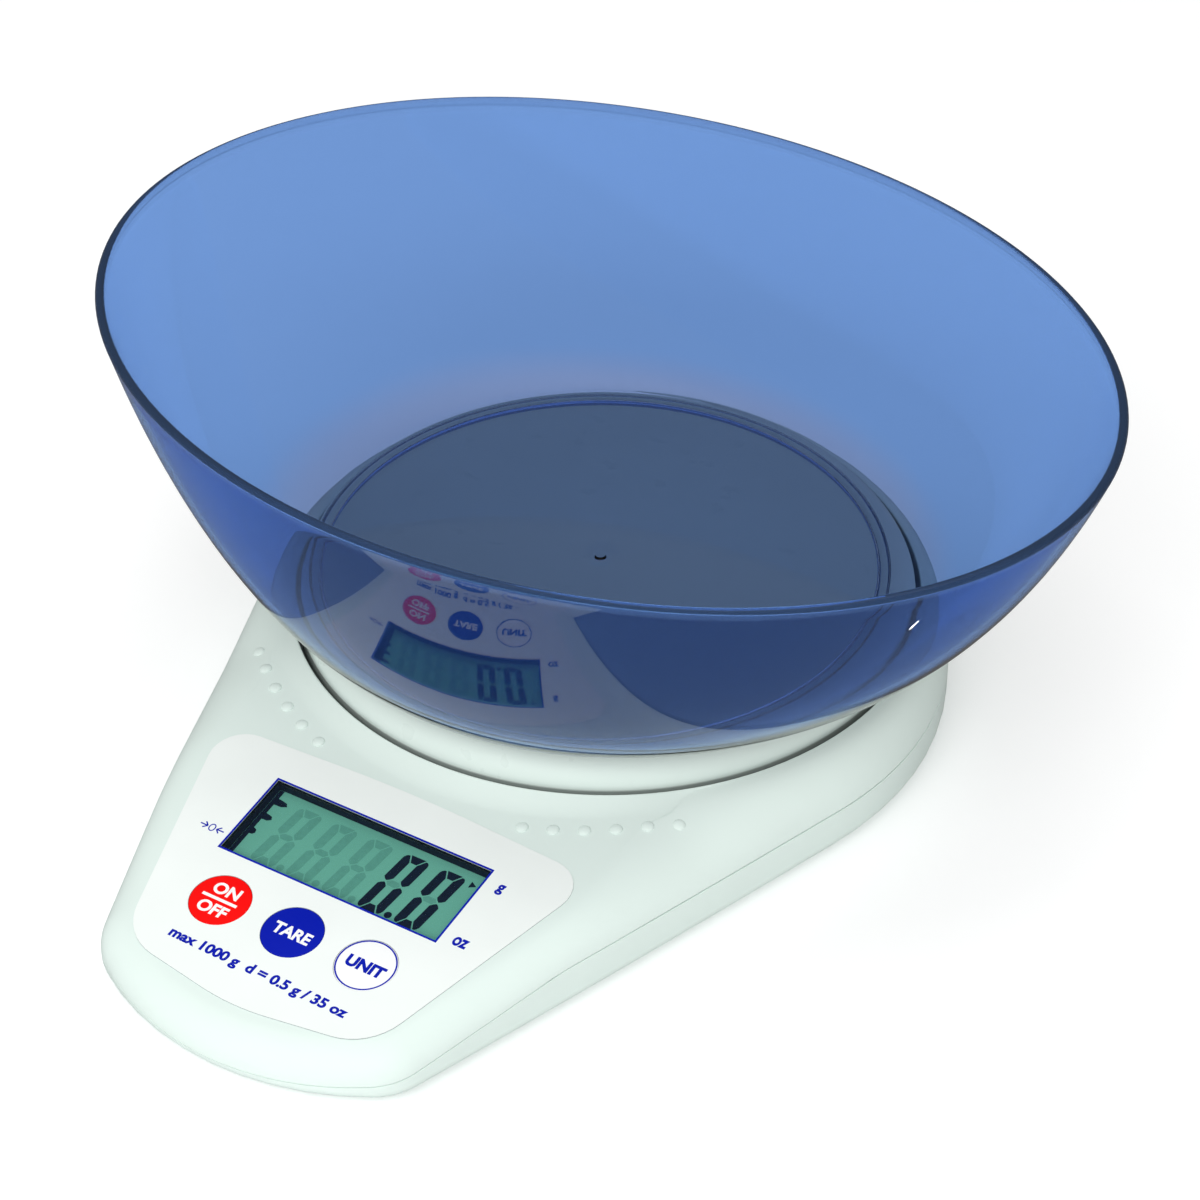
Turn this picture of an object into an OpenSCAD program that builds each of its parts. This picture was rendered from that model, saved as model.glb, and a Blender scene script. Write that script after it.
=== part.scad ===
// Kitchen scale: a tapering housing with a sloping control deck, a round weighing
// platform on a bending-beam load cell, and a loose oval bowl.
// It stands on its feet at z = 0. The display faces -Y, and X is the width.

/* [Platform] */
// Diameter of the round weighing platform
platform_d = 150; // [140:1:170]
// Running gap around the platform
platform_gap = 0.8; // [0.6:0.1:1.5]
// Height of the platform's top above the collar
platform_rise = 7.4; // [6:0.2:10]
// Width of the rounded lip of the platform
platform_lip = 11; // [8:0.5:16]
// Wall of the platform
platform_t = 2.2; // [1.8:0.1:3]
// Depth of the platform's skirt below the collar's top
skirt_depth = 5.4; // [4.6:0.2:6]
// Travel of the platform when it is loaded fully
platform_travel = 0.5; // [0.3:0.1:0.6]

/* [Housing] */
// Height of the collar around the platform
collar_h = 27.4; // [26.6:0.2:32]
// Width of the housing beside the platform's gap
collar_land = 8.2; // [7.8:0.2:14]
// Width of the collar's flat top edge
collar_lip = 0.8; // [0.6:0.1:1.2]
// Offset of the round rear part towards the front
body_forward = 2.5; // [1.5:0.1:2.8]
// Angle by which each side turns in towards the front
taper = 18; // [16:0.5:19]
// Bulge of the long sides
side_crown = 0.4; // [0.2:0.1:0.8]
// Radius of the front end
nose_r = 68; // [62:1:80]
// Radius of the two front corners
corner_r = 15; // [12:0.5:20]
// Slope of the control deck
deck_tilt = 8; // [6.5:0.25:9]
// Width of the rolled edge beside the controls
crest_w = 8; // [6:0.5:9]
// Growth of the rolled edge for each millimetre further back
crest_growth = 0.3; // [0.1:0.05:0.4]
// Width of the hollow slope up to the collar
flank_w = 5.8; // [4:0.2:6.2]
// Height of the parting line along the sides
seam_h = 13.2; // [12:0.2:14.5]
// Distance of the parting line below the deck at the front
seam_drop = 7; // [6:0.2:7.5]
// Gap in the parting line
seam_gap = 0.15; // [0.1:0.05:0.3]
// Wall of both housings
wall = 2; // [1.8:0.1:2.2]
// Radius of the bottom edge
base_edge_r = 3.4; // [2:0.2:3.8]
// Height of the feet below the housing
foot_h = 2; // [1.6:0.2:3]
// Height of the floor of the platform's well
well_h = 20; // [19.4:0.2:20.4]
// Thickness of the well's floor and wall
well_t = 1.6; // [1.2:0.1:1.8]
// Diameter of the opening in the well's floor
well_opening = 92; // [88:1:100]

/* [Bowl] */
// Width of the bowl over its rim
bowl_w = 250.4; // [240:1:280]
// Depth of the bowl over its rim, front to back
bowl_d = 191.2; // [180:1:220]
// Height of the bowl from its foot to the middle of its rim
bowl_h = 67.4; // [55:1:90]
// Distance from the platform's edge in to the bowl's round base
bowl_margin = 5; // [3:0.5:8]
// Height of the foot ring
bowl_foot_h = 2.2; // [1.6:0.2:4]
// Width of the foot ring
bowl_foot_w = 2.4; // [2:0.2:4]
// Wall of the bowl
bowl_t = 2.2; // [1.8:0.1:3]
// Diameter of the rounded rim
bowl_rim_d = 3.8; // [3.2:0.2:5]
// How sharply the wall turns up: 0.5 is round, 1 is straight
bowl_flare = 0.72; // [0.6:0.02:0.9]
// Distance by which the bowl stands forward on the platform
bowl_forward = 3.3; // [0:0.1:4]
// Gap under the foot ring
bowl_seat = 0.1; // [0.05:0.05:0.2]

/* [Display] */
// Width of the display window
window_w = 58.3; // [50:0.5:60]
// Height of the display window along the deck
window_h = 22.7; // [20:0.1:23]
// Distance from the collar forward to the window
window_gap = 18.3; // [17:0.1:20]
// Thickness of the clear pane
pane_t = 0.8; // [0.5:0.1:1]
// Margin of the pane around the window
pane_margin = 2.2; // [2:0.1:2.6]
// Wall of the black display frame
frame_wall = 1; // [0.8:0.1:1.2]
// Width of the frame's flange beyond the window
frame_flange = 3.6; // [3.2:0.2:4]
// Depth of the display glass below the deck
glass_depth = 3.5; // [3.4:0.1:4]
// Thickness of the display glass
glass_t = 2.4; // [2:0.1:2.6]
// Thickness of the polarising film on the glass
film_t = 0.2; // [0.1:0.05:0.3]
// Height of the rubber contact strips
strip_h = 2.1; // [1.8:0.1:2.4]
// Width of the rubber contact strips
strip_w = 2.4; // [2:0.2:3]

/* [Label and buttons] */
// Thickness of the printed label
label_t = 0.25; // [0.15:0.05:0.4]
// Width of the label between its rear corners
label_w_rear = 102; // [96:1:104]
// Width of the label between its front corners
label_w_front = 66; // [60:1:68]
// Distance from the collar forward to the label
label_gap = 7.15; // [6.5:0.05:9]
// Margin between the label and the front end
label_margin = 8.4; // [8:0.2:12]
// Radius of the label's rear corners
label_rear_r = 8; // [4:0.5:10]
// Radius of the label's front corners
label_front_r = 14; // [8:0.5:16]
// Diameter of the buttons
button_d = 14; // [12:0.2:14.4]
// Gap around the buttons
button_gap = 0.25; // [0.2:0.05:0.4]
// Distance between the buttons
button_pitch = 19.7; // [18:0.1:20.4]
// Distance from the window's middle forward to the buttons
button_row = 24.4; // [24:0.2:25]
// Distance from the buttons forward to the front end
button_margin = 24.85; // [24:0.05:27]
// Travel of the buttons
button_travel = 0.3; // [0.2:0.05:0.35]
// Width of the ring that holds a button in
button_flange = 1.1; // [0.8:0.1:1.3]
// Thickness of that ring
button_flange_t = 0.8; // [0.6:0.1:0.9]

/* [Electronics] */
// Thickness of the circuit board
board_t = 1.6; // [1.2:0.2:1.6]
// Width of the board beyond each side of the display frame
board_side = 8.25; // [8:0.25:9]
// Width of the board in front of the buttons
board_w_front = 62; // [58:1:66]
// Side of the square switch bodies
switch_w = 6; // [5:0.5:6.5]
// Height of the switch bodies
switch_h = 3.4; // [3:0.1:3.6]
// Diameter of the switch plungers
plunger_d = 3.4; // [2.6:0.1:3.8]
// Running gap around a plunger
plunger_gap = 0.06; // [0.04:0.01:0.1]
// Gap between the board's screws and the floor of the housing
board_floor_gap = 0.34; // [0.3:0.01:1]
// Diameter of the moulded chip cover
chip_d = 14; // [10:1:18]
// Height of the moulded chip cover
chip_h = 1.8; // [1.2:0.2:2.2]

/* [Load cell] */
// Length of the load cell's beam
beam_l = 60; // [56:1:64]
// Width of the beam
beam_w = 12; // [10:0.5:14]
// Height of the beam
beam_h = 9; // [8:0.5:9.4]
// Diameter of the two linked holes through the beam
beam_bore_d = 6; // [5:0.25:6.4]
// Distance between those two holes
beam_bore_pitch = 14; // [10:0.5:16]
// Thickness of the spacers at its ends
spacer_t = 1.2; // [0.8:0.1:1.4]
// Length of the spacers
spacer_l = 15; // [13:0.5:16]
// Width of the sheet bracket under the platform
bracket_w = 72; // [68:1:74]
// Depth of that bracket, front to back
bracket_d = 40; // [36:1:44]
// Thickness of the bracket
bracket_t = 1.5; // [1:0.1:1.8]
// Size of the strain gauges along the beam
gauge_l = 9; // [6:0.5:10]
// Thickness of the gauges with their coating
gauge_t = 0.4; // [0.3:0.05:0.4]

/* [Batteries] */
// Diameter of the cells
cell_d = 10.5; // [10:0.1:10.6]
// Length of the cells with their contact nub
cell_l = 44.5; // [43:0.5:45]
// Distance from the platform's axis back to the middle of the cells
cell_back = 43; // [42:0.5:45]
// Space between the two cells
cell_space = 1; // [0.6:0.1:1.4]
// Length of a contact spring when the cells are in
spring_l = 3.4; // [3:0.2:4]
// Thickness of the contact plates
contact_t = 0.4; // [0.3:0.05:0.6]
// Thickness of the battery door
door_t = 1.8; // [1.4:0.1:2]
// Gap around the battery door
door_gap = 0.3; // [0.25:0.05:0.5]
// Diameter of the door's hinge pins
hinge_d = 2.4; // [2:0.1:2.6]
// Running gap around a hinge pin
hinge_gap = 0.05; // [0.03:0.01:0.08]
// Length of each hinge pin
hinge_l = 2.4; // [2:0.2:3]
// Wall of the battery box
box_t = 1.4; // [1.2:0.1:1.6]

/* [Fasteners and wires] */
// Diameter of the housing screws
case_screw_d = 3; // [2.6:0.1:3.2]
// Diameter of the board screws
board_screw_d = 2; // [1.8:0.1:2.4]
// Diameter of the load cell's screws
beam_screw_d = 4; // [3.5:0.1:4.2]
// Diameter of the rubber feet
foot_d = 14; // [10:0.5:15]
// Depth to which the feet are let in
foot_recess = 1; // [0.6:0.1:1.2]
// Diameter of the load cell's cable
cable_d = 2.4; // [1.8:0.1:2.6]
// Diameter of the battery wires
wire_d = 1.4; // [1.2:0.1:1.8]
// Clearance of a screw in a plain hole, all round
hole_clear = 0.2; // [0.1:0.05:0.3]
// Clearance of a screw in the part that it is driven into, all round
thread_clear = 0.05; // [0.03:0.01:0.08]

/* [Hidden] */
$fn = 48;
eps = 0.01;

// Colours
abs_white = [0.88, 0.93, 0.91];
label_white = [0.93, 0.95, 0.93];
clear_blue = [0.33, 0.44, 0.62, 0.7];
clear_pane = [0.8, 0.85, 0.85, 0.4];
black = [0.06, 0.07, 0.08];
glass_green = [0.45, 0.62, 0.55];
steel = [0.72, 0.73, 0.74];
aluminium = [0.8, 0.81, 0.82];
board_green = [0.12, 0.38, 0.22];
rubber_grey = [0.25, 0.25, 0.26];
button_red = [0.86, 0.05, 0.05];
button_blue = [0.03, 0.12, 0.62];
display_grey = [0.6, 0.7, 0.66];
plunger_ivory = [0.85, 0.85, 0.82];
gauge_amber = [0.85, 0.8, 0.55];
cell_green = [0.2, 0.45, 0.3];
wire_red = [0.7, 0.06, 0.06];
cable_grey = [0.8, 0.8, 0.8];

// Plan of the housing
platform_r = platform_d / 2;
well_r = platform_r + platform_gap;
collar_r = well_r + collar_lip;
body_r = well_r + collar_land;
button_r = button_d / 2;
window_from_nose = button_row + button_r + button_margin;
window_from_axis = collar_r + window_gap + window_h / 2;
nose_reach = window_from_axis + window_from_nose;
nose_y = nose_r - nose_reach;
rear_n = 40;
side_n = 9;
corner_n = 5;
nose_n = 10;
// The corner's centre lies corner_r inside the side line and inside the front arc.
side_normal = [cos(taper), -sin(taper)];
side_dir = [-sin(taper), -cos(taper)];
side_start = side_normal * (body_r - corner_r + sin(taper) * body_forward) - [0, nose_y];
side_along = side_start * side_dir;
side_off = sqrt(pow(side_along, 2) - side_start * side_start + pow(nose_r - corner_r, 2));
corner_c = side_start + side_dir * (side_off - side_along) + [0, nose_y];
nose_a = atan2(corner_c.x, nose_y - corner_c.y);

// Heights
base_z = foot_h;
floor_z = base_z + wall;
platform_z = collar_h + platform_rise;
shelf_z = well_h - well_t;
crest_n = 6;
flank_n = 5;
// Flat land that stays between the rolled edge and the hollow slope
land = 0.5;
// Where the rolled edge starts to widen
crest_from = -97;

// The whole scale is centred front to back on its own footprint.
bowl_rear = bowl_d / 2 - bowl_forward;
body_rear = body_r - body_forward;
axis_y = (nose_reach - max(bowl_rear, body_rear)) / 2;

// Stack of the load cell
screw_head_h = 2;
case_head_d = 5.6;
beam_head_d = 6.6;
board_head_d = 4;
board_head_h = 1.4;
// Room around a screw's head in its recess, all round
head_clear = 0.4;
// Depth of a screw's head below the underside
head_recess = 0.4;
// Length of the screws beyond the faces that they clamp
case_bite = 4;
beam_bite = 5;
board_bite = 4;
pedestal_h = 2;
beam_z = floor_z + pedestal_h + spacer_t;
beam_top = beam_z + beam_h;
bracket_z = beam_top + spacer_t;
bracket_top = bracket_z + bracket_t;
beam_screw_x = [beam_l / 2 - 4, beam_l / 2 - spacer_l + 4];
platform_post = [bracket_w / 2 - 8, bracket_d / 2 - 6];
platform_post_r = 3.5;

// Deck stack, measured straight down from the deck
window_y = -window_from_axis;
label_rear = window_gap + window_h / 2 - label_gap;
housing_under = wall / cos(deck_tilt);
strip_depth = glass_depth + film_t + glass_t;
board_depth = strip_depth + strip_h;
button_x = [-button_pitch, 0, button_pitch];
flange_depth = housing_under + 0.2;
flange_low = flange_depth + button_flange_t;
switch_depth = board_depth - switch_h;
switch_bore = 1.6;
glass_w = window_w + 2 * frame_flange - 1;
glass_h = window_h + 2 * frame_flange - 1;
frame_fit = 0.15;
board_rear = window_h / 2 + frame_flange + 1.5;
board_front = -button_row - button_r - 5;
board_w_rear = window_w + 2 * frame_flange + 2 * board_side;
board_post_r = 2.7;
// The label's rear and front edges bow outwards: drop of their ends, and radius in the middle
label_rear_sag = 2.5;
label_rear_bow_r = 400;
label_front_sag = 5;
label_front_bow_r = 60;
board_posts = [
    [board_w_rear / 2 - 3.5, board_rear - 6],
    [board_w_front / 2 - 3.2, board_front + 3.4]
];

// Front end of the lowest screw head on the board, measured from the housing's front end
board_head_low = window_from_nose + (board_posts[1].y - board_head_d / 2) * cos(deck_tilt);
// Height of the deck's plane at the front end, which leaves room for the board's screws
board_stack = board_depth + board_t + board_head_h;
nose_h = floor_z + board_floor_gap + board_stack / cos(deck_tilt)
    - tan(deck_tilt) * (board_head_low + board_stack * sin(deck_tilt));
// Rear edge of the board's underside, and where the wires end in front of it
board_edge_y = window_y + board_rear * cos(deck_tilt) + (board_depth + board_t) * sin(deck_tilt);
wire_end_y = board_edge_y - 4.4;

// Screws that join the housings, right-hand side only: [x, y, top of the boss]
case_post_r = 3.4;
case_boss_r = 4.8;
// Plastic that a case screw's head presses on
case_clamp_t = 2;
case_seat_z = floor_z + 4;
case_posts = [
    [58, 30, well_h - well_t / 2],
    [46, 82.5 - nose_reach, deck_z(82.5 - nose_reach) - wall / 2],
    [20, 15.5 - nose_reach, deck_z(15.5 - nose_reach) - wall / 2]
];
foot_places = [[40, 54], [24, 26 - nose_reach]];

// Battery compartment
cell_r = cell_d / 2;
cell_pitch = cell_d + cell_space;
cell_front_y = cell_back - cell_pitch / 2;
cell_rear_y = cell_back + cell_pitch / 2;
door_z = base_z + door_t;
cell_z = door_z + 0.4 + cell_r;
box_l = cell_l + spring_l + contact_t + 0.6;
box_top = cell_z + cell_r + 0.5;
hinge_z = floor_z + 0.6;
hinge_knuckle_r = hinge_d / 2 + 0.8;
box_rear = cell_rear_y + cell_r + 0.6;
hinge_y = cell_front_y - cell_r - hinge_knuckle_r - 0.6;
box_front = hinge_y - hinge_knuckle_r - 1.6;

// Bowl
bowl_base_r = platform_r - bowl_margin;
bowl_base_z = platform_z + bowl_seat + bowl_foot_h;
rim_z = platform_z + bowl_seat + bowl_h;
rim_r = bowl_rim_d / 2;
bowl_n = 80;
bowl_levels = 14;
rim_a = acos(bowl_t / bowl_rim_d);
rim_n = 8;

// Routes of the wires, as points on the way from the source to the board
wire_gap = 0.1;
cable_z = floor_z + cable_d / 2 + wire_gap;
wire_z = floor_z + wire_d / 2 + wire_gap;
wire_from_x = box_l / 2 + box_t + wire_gap;
cable_route = [
    [-12, -beam_w / 2 - wire_gap, beam_z + beam_h / 2], [-12, -13, beam_z + beam_h / 2],
    [-18, -22, cable_z], [-22, -40, cable_z], [-22, wire_end_y + 13, cable_z],
    [-20, wire_end_y + 2, floor_z + 2.5],
    [-20, wire_end_y, board_under(wire_end_y) - 0.6 * cable_d]
];
red_route = [
    [wire_from_x, cell_front_y, cell_z], [31, cell_front_y, cell_z], [36, 26, wire_z],
    [37, 0, wire_z], [35, -50, wire_z],
    [28, wire_end_y + 11, wire_z], [28, wire_end_y + 2, floor_z + 2.5],
    [28, wire_end_y, board_under(wire_end_y) - 0.6 * wire_d]
];
black_route = [
    [wire_from_x, cell_rear_y, cell_z], [33, cell_rear_y, cell_z], [39, 28, wire_z],
    [40, 0, wire_z], [38, -50, wire_z],
    [31, wire_end_y + 11, wire_z], [31, wire_end_y + 2, floor_z + 2.5],
    [31, wire_end_y, board_under(wire_end_y) - 0.6 * wire_d]
];

// ---- Shape functions -------------------------------------------------------

// Height of the deck's plane
function deck_z(y) = nose_h + tan(deck_tilt) * (y + nose_reach);
// Height of the parting line
function seam_z(y) = min(seam_h, deck_z(y) - seam_drop);
// Height of the upper surface away from its rolled edge
function top_z(y) = min(deck_z(y), collar_h);
// Width of the rolled edge
function crest(y) = crest_w + crest_growth * max(0, y - crest_from);

// Height of the board's underside
function board_under(y) = deck_z(y) - (board_depth + board_t) / cos(deck_tilt);

function unit(a) = [cos(a), sin(a)];
// Places around the outline as [point, outward normal], anticlockwise from the right
function arc_places(c, r, a0, a1, n, skip = 0) = [
    for (i = [skip : n]) let (u = unit(a0 + (a1 - a0) * i / n)) [c + r * u, u]
];
function side_places(p, q, n) = [for (i = [1 : n - 1]) let (t = i / n)
    [p[0] + (q[0] - p[0]) * t + 4 * side_crown * t * (1 - t) * p[1], p[1]]
];
function mirrored(p) = [-p.x, p.y];
function outline_places() = let (
    rear = arc_places([0, -body_forward], body_r, -taper, 180 + taper, rear_n),
    left = arc_places(mirrored(corner_c), corner_r, 180 + taper, 270 - nose_a, corner_n),
    nose = arc_places([0, nose_y], nose_r, 270 - nose_a, 270 + nose_a, nose_n, 1),
    right = arc_places(corner_c, corner_r, 270 + nose_a, 360 - taper, corner_n, 1)
) concat(
    rear, side_places(rear[rear_n], left[0], side_n), left, nose, right,
    side_places(right[corner_n - 1], rear[0], side_n)
);
places = outline_places();
place_n = len(places);
// Direction from the platform's axis to a place
function bearing(p) = unit(atan2(p[0].y, p[0].x));
// Distance from a place to a circle around the platform's axis
function reach(p, inset, r) = norm(p[0] - inset * p[1]) - r;

function at_height(p, z) = [p.x, p.y, z];
// One ring of the outline, set in by a fixed amount, at the parting line or at a height
function seam_ring(inset, lift = 0) = [
    for (p = places) let (q = p[0] - inset * p[1]) at_height(q, seam_z(q.y) + lift)
];
function flat_ring(inset, z) = [for (p = places) at_height(p[0] - inset * p[1], z)];
function round_ring(r, z) = [for (p = places) at_height(bearing(p) * r, z)];

// The rolled edge and hollow slope of a surface that lies t below the outside
function edge_width(p, t, r) = min(crest(p[0].y) - t, reach(p, t, r) - 2 * land);
function slope_width(p, t, r) = min(flank_w, reach(p, t, r) - edge_width(p, t, r) - land);
function crest_ring(t, r, j) = [
    for (p = places) let (
        w = edge_width(p, t, r),
        q = p[0] - (t + w * (1 - cos(90 * j / crest_n))) * p[1],
        low = seam_z(p[0].y - t * p[1].y) + seam_gap
    ) at_height(q, low + (top_z(q.y) - t - low) * sin(90 * j / crest_n))
];
function flank_ring(t, r, k) = [
    for (p = places) let (
        q = bearing(p) * (r + slope_width(p, t, r) * (1 - k / flank_n)),
        low = top_z(q.y)
    ) at_height(q, low - t + (collar_h - low) * pow(k / flank_n, 2))
];

// Triangles that join ring after ring, with the first and last ring capped or joined
function ring_quads(n, a, b) = [
    for (i = [0 : n - 1]) let (j = (i + 1) % n)
        each [[a * n + i, b * n + i, b * n + j], [a * n + i, b * n + j, a * n + j]]
];
module ring_solid(rings, closed = false) {
    n = len(rings[0]);
    m = len(rings);
    caps = closed ? [] : [
        [for (i = [0 : n - 1]) i],
        [for (i = [n - 1 : -1 : 0]) (m - 1) * n + i]
    ];
    polyhedron(
        points = [for (ring = rings) each ring],
        faces = concat(
            [for (a = [0 : m - 2]) each ring_quads(n, a, a + 1)],
            closed ? ring_quads(n, m - 1, 0) : caps
        ),
        convexity = 10
    );
}

// Corners rounded to their own radii
function rounded(pts, radii, steps = 8) = [
    for (i = [0 : len(pts) - 1]) let (
        m = len(pts),
        q = pts[i],
        u = (pts[(i + m - 1) % m] - q) / norm(pts[(i + m - 1) % m] - q),
        v = (pts[(i + 1) % m] - q) / norm(pts[(i + 1) % m] - q),
        half = acos(u * v) / 2,
        c = q + (u + v) / norm(u + v) * radii[i] / sin(half),
        from = q + u * radii[i] / tan(half) - c,
        to = q + v * radii[i] / tan(half) - c,
        a0 = atan2(from.y, from.x),
        swing = atan2(from.x * to.y - from.y * to.x, from * to)
    ) each [for (j = [0 : steps]) c + radii[i] * unit(a0 + swing * j / steps)]
];

// A round tube through a list of points
function tube_dir(pts, i) = let (
    d = pts[min(i + 1, len(pts) - 1)] - pts[max(i - 1, 0)]
) d / norm(d);
function tube_rings(pts, r, sides = 8) = [
    for (i = [0 : len(pts) - 1]) let (
        d = tube_dir(pts, i),
        u = cross(d, [0, 0, 1]) / norm(cross(d, [0, 0, 1])),
        v = cross(u, d)
    ) [for (k = [0 : sides - 1]) pts[i] + r * (cos(360 * k / sides) * u + sin(360 * k / sides) * v)]
];
// Each bend of a route is cut by a smooth curve through two points near it
function soften(pts) = concat(
    [pts[0]],
    [for (i = [1 : len(pts) - 2]) each [for (t = [0 : 0.25 : 1]) let (
        a = pts[i] + (pts[i - 1] - pts[i]) * 0.3,
        b = pts[i] + (pts[i + 1] - pts[i]) * 0.3
    ) a * pow(1 - t, 2) + pts[i] * 2 * t * (1 - t) + b * pow(t, 2)]],
    [pts[len(pts) - 1]]
);

// ---- Helpers ---------------------------------------------------------------

// Puts a piece that is drawn around the platform's axis in the scale's own frame
module placed() {
    translate([0, axis_y, 0]) children();
}

// The deck's own frame: its origin is the window's middle, z points out of the deck
module on_deck() {
    placed() translate([0, window_y, deck_z(window_y)]) rotate([deck_tilt, 0, 0]) children();
}

// A plate in the deck's frame between two depths
module deck_plate(w, h, from, to) {
    translate([-w / 2, -h / 2, -to]) cube([w, h, to - from]);
}

module at_post(p) {
    for (side = [-1, 1]) translate([side * p.x, p.y, 0]) children();
}

// A pan-head screw that points up, with its head's lower side at z
module screw_up(d, head_d, z, length) {
    translate([0, 0, z]) cylinder(d = head_d, h = screw_head_h);
    translate([0, 0, z + screw_head_h - eps]) cylinder(d = d, h = length + eps);
}

module tube(route, d) {
    ring_solid(tube_rings(soften(route), d / 2));
}

// ---- Bowl ------------------------------------------------------------------

// Share of the way from the base's radius to the rim's radius
function swell(t) = 2 * pow(t, bowl_flare) - t;
function oval(rx, ry, z) = [
    for (i = [0 : bowl_n - 1]) let (a = 360 * i / bowl_n) [rx * cos(a), ry * sin(a), z]
];
// A wall ring between the base and the rim
function bowl_ring(t, base_r, inset, low, high) = let (
    rx = base_r + (bowl_w / 2 - inset - base_r) * swell(t),
    ry = base_r + (bowl_d / 2 - inset - base_r) * swell(t)
) oval(rx, ry, low + (high - low) * t);
function rim_ring(a) = oval(
    bowl_w / 2 - rim_r + rim_r * cos(a), bowl_d / 2 - rim_r + rim_r * sin(90 - a),
    rim_z + rim_r * sin(a)
);
function bowl_step(i) = pow(i / bowl_levels, 1.8);

module bowl() {
    wall_top = rim_z - rim_r * sin(rim_a);
    inner_floor = bowl_base_z + bowl_t;
    outer_inset = rim_r - bowl_t / 2;
    outside = [
        for (i = [0 : bowl_levels])
            bowl_ring(bowl_step(i), bowl_base_r, outer_inset, bowl_base_z, wall_top)
    ];
    rim = [for (k = [1 : rim_n - 1]) rim_ring(-rim_a + (180 + 2 * rim_a) * k / rim_n)];
    inside = [
        for (i = [bowl_levels : -1 : 0])
            bowl_ring(bowl_step(i), bowl_base_r - 0.6, outer_inset + bowl_t, inner_floor, wall_top)
    ];
    color(clear_blue) placed() translate([0, -bowl_forward, 0]) {
        ring_solid(concat(outside, rim, inside));
        translate([0, 0, bowl_base_z - bowl_foot_h]) difference() {
            cylinder(r = bowl_base_r - 1, h = bowl_foot_h + eps, $fn = 96);
            translate([0, 0, -1]) cylinder(r = bowl_base_r - 1 - bowl_foot_w, h = bowl_foot_h + 2, $fn = 96);
        }
    }
}

// ---- Platform and load cell --------------------------------------------------

// Rounded lip of the platform, drawn t inside its outer surface
function lip_curve(t, n = 8) = [
    for (i = [0 : n]) [
        platform_r - platform_lip + (platform_lip - t) * cos(90 * i / n),
        collar_h + (platform_rise - t) * sin(90 * i / n)
    ]
];

module platform() {
    skirt_z = collar_h - skirt_depth;
    color(abs_white) placed() {
        rotate_extrude($fn = 96) polygon(concat(
            [[0, platform_z - platform_t], [0, platform_z]],
            [for (i = [8 : -1 : 0]) lip_curve(0)[i]],
            [[platform_r, skirt_z], [platform_r - platform_t, skirt_z]],
            lip_curve(platform_t)
        ));
        for (y = [-1, 1]) at_post([platform_post.x, y * platform_post.y]) difference() {
            translate([0, 0, bracket_top])
                cylinder(r = platform_post_r, h = platform_z - platform_t / 2 - bracket_top);
            translate([0, 0, bracket_top - 1])
                cylinder(d = case_screw_d + 2 * thread_clear, h = case_bite + 2);
        }
    }
}

module platform_bracket() {
    color(steel) placed() difference() {
        translate([-bracket_w / 2, -bracket_d / 2, bracket_z]) cube([bracket_w, bracket_d, bracket_t]);
        for (y = [-1, 1]) at_post([platform_post.x, y * platform_post.y])
            translate([0, 0, bracket_z - 1]) cylinder(d = case_screw_d + 2 * hole_clear, h = bracket_t + 2);
        for (x = beam_screw_x) translate([x, 0, bracket_z - 1])
            cylinder(d = beam_screw_d + 2 * hole_clear, h = bracket_t + 2);
    }
}

module platform_screws() {
    color(steel) placed() for (y = [-1, 1]) at_post([platform_post.x, y * platform_post.y])
        screw_up(case_screw_d, case_head_d, bracket_z - screw_head_h, bracket_t + case_bite);
}

module load_cell() {
    color(aluminium) placed() difference() {
        translate([-beam_l / 2, -beam_w / 2, beam_z]) cube([beam_l, beam_w, beam_h]);
        for (side = [-1, 1]) translate([side * beam_bore_pitch / 2, 0, beam_z + beam_h / 2])
            rotate([90, 0, 0]) cylinder(d = beam_bore_d, h = beam_w + 2, center = true);
        translate([0, 0, beam_z + beam_h / 2])
            cube([beam_bore_pitch, beam_w + 2, beam_bore_d / 3], center = true);
        for (x = beam_screw_x) {
            translate([-x, 0, beam_z - 1])
                cylinder(d = beam_screw_d + 2 * thread_clear, h = beam_bite + 2);
            translate([x, 0, beam_top - beam_bite - 1])
                cylinder(d = beam_screw_d + 2 * thread_clear, h = beam_bite + 2);
        }
    }
}

module strain_gauge(z) {
    color(gauge_amber) placed() for (side = [-1, 1])
        translate([side * beam_bore_pitch / 2 - gauge_l / 2, -beam_w / 4, z])
            cube([gauge_l, beam_w / 2, gauge_t]);
}

module strain_gauge_top() {
    strain_gauge(beam_top);
}

module strain_gauge_bottom() {
    strain_gauge(beam_z - gauge_t);
}

// A spacer between the beam's end and what it is screwed to; side is -1 or 1
module end_spacer(side, z) {
    color(steel) placed() difference() {
        translate([side * (beam_l / 2 - spacer_l / 2) - spacer_l / 2, -beam_w / 2, z])
            cube([spacer_l, beam_w, spacer_t]);
        for (x = beam_screw_x) translate([side * x, 0, z - 1])
            cylinder(d = beam_screw_d + 2 * hole_clear, h = spacer_t + 2);
    }
}

module load_cell_base_spacer() {
    end_spacer(-1, beam_z - spacer_t);
}

module load_cell_top_spacer() {
    end_spacer(1, beam_top);
}

module load_cell_base_screws() {
    color(steel) placed() for (x = beam_screw_x) translate([-x, 0, 0])
        screw_up(
            beam_screw_d, beam_head_d, base_z + head_recess,
            beam_z + beam_bite - base_z - head_recess - screw_head_h
        );
}

module load_cell_top_screws() {
    color(steel) placed() for (x = beam_screw_x) translate([x, 0, bracket_top + screw_head_h])
        rotate([180, 0, 0]) screw_up(beam_screw_d, beam_head_d, 0, bracket_top - beam_top + beam_bite);
}

// ---- Housings ----------------------------------------------------------------

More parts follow.
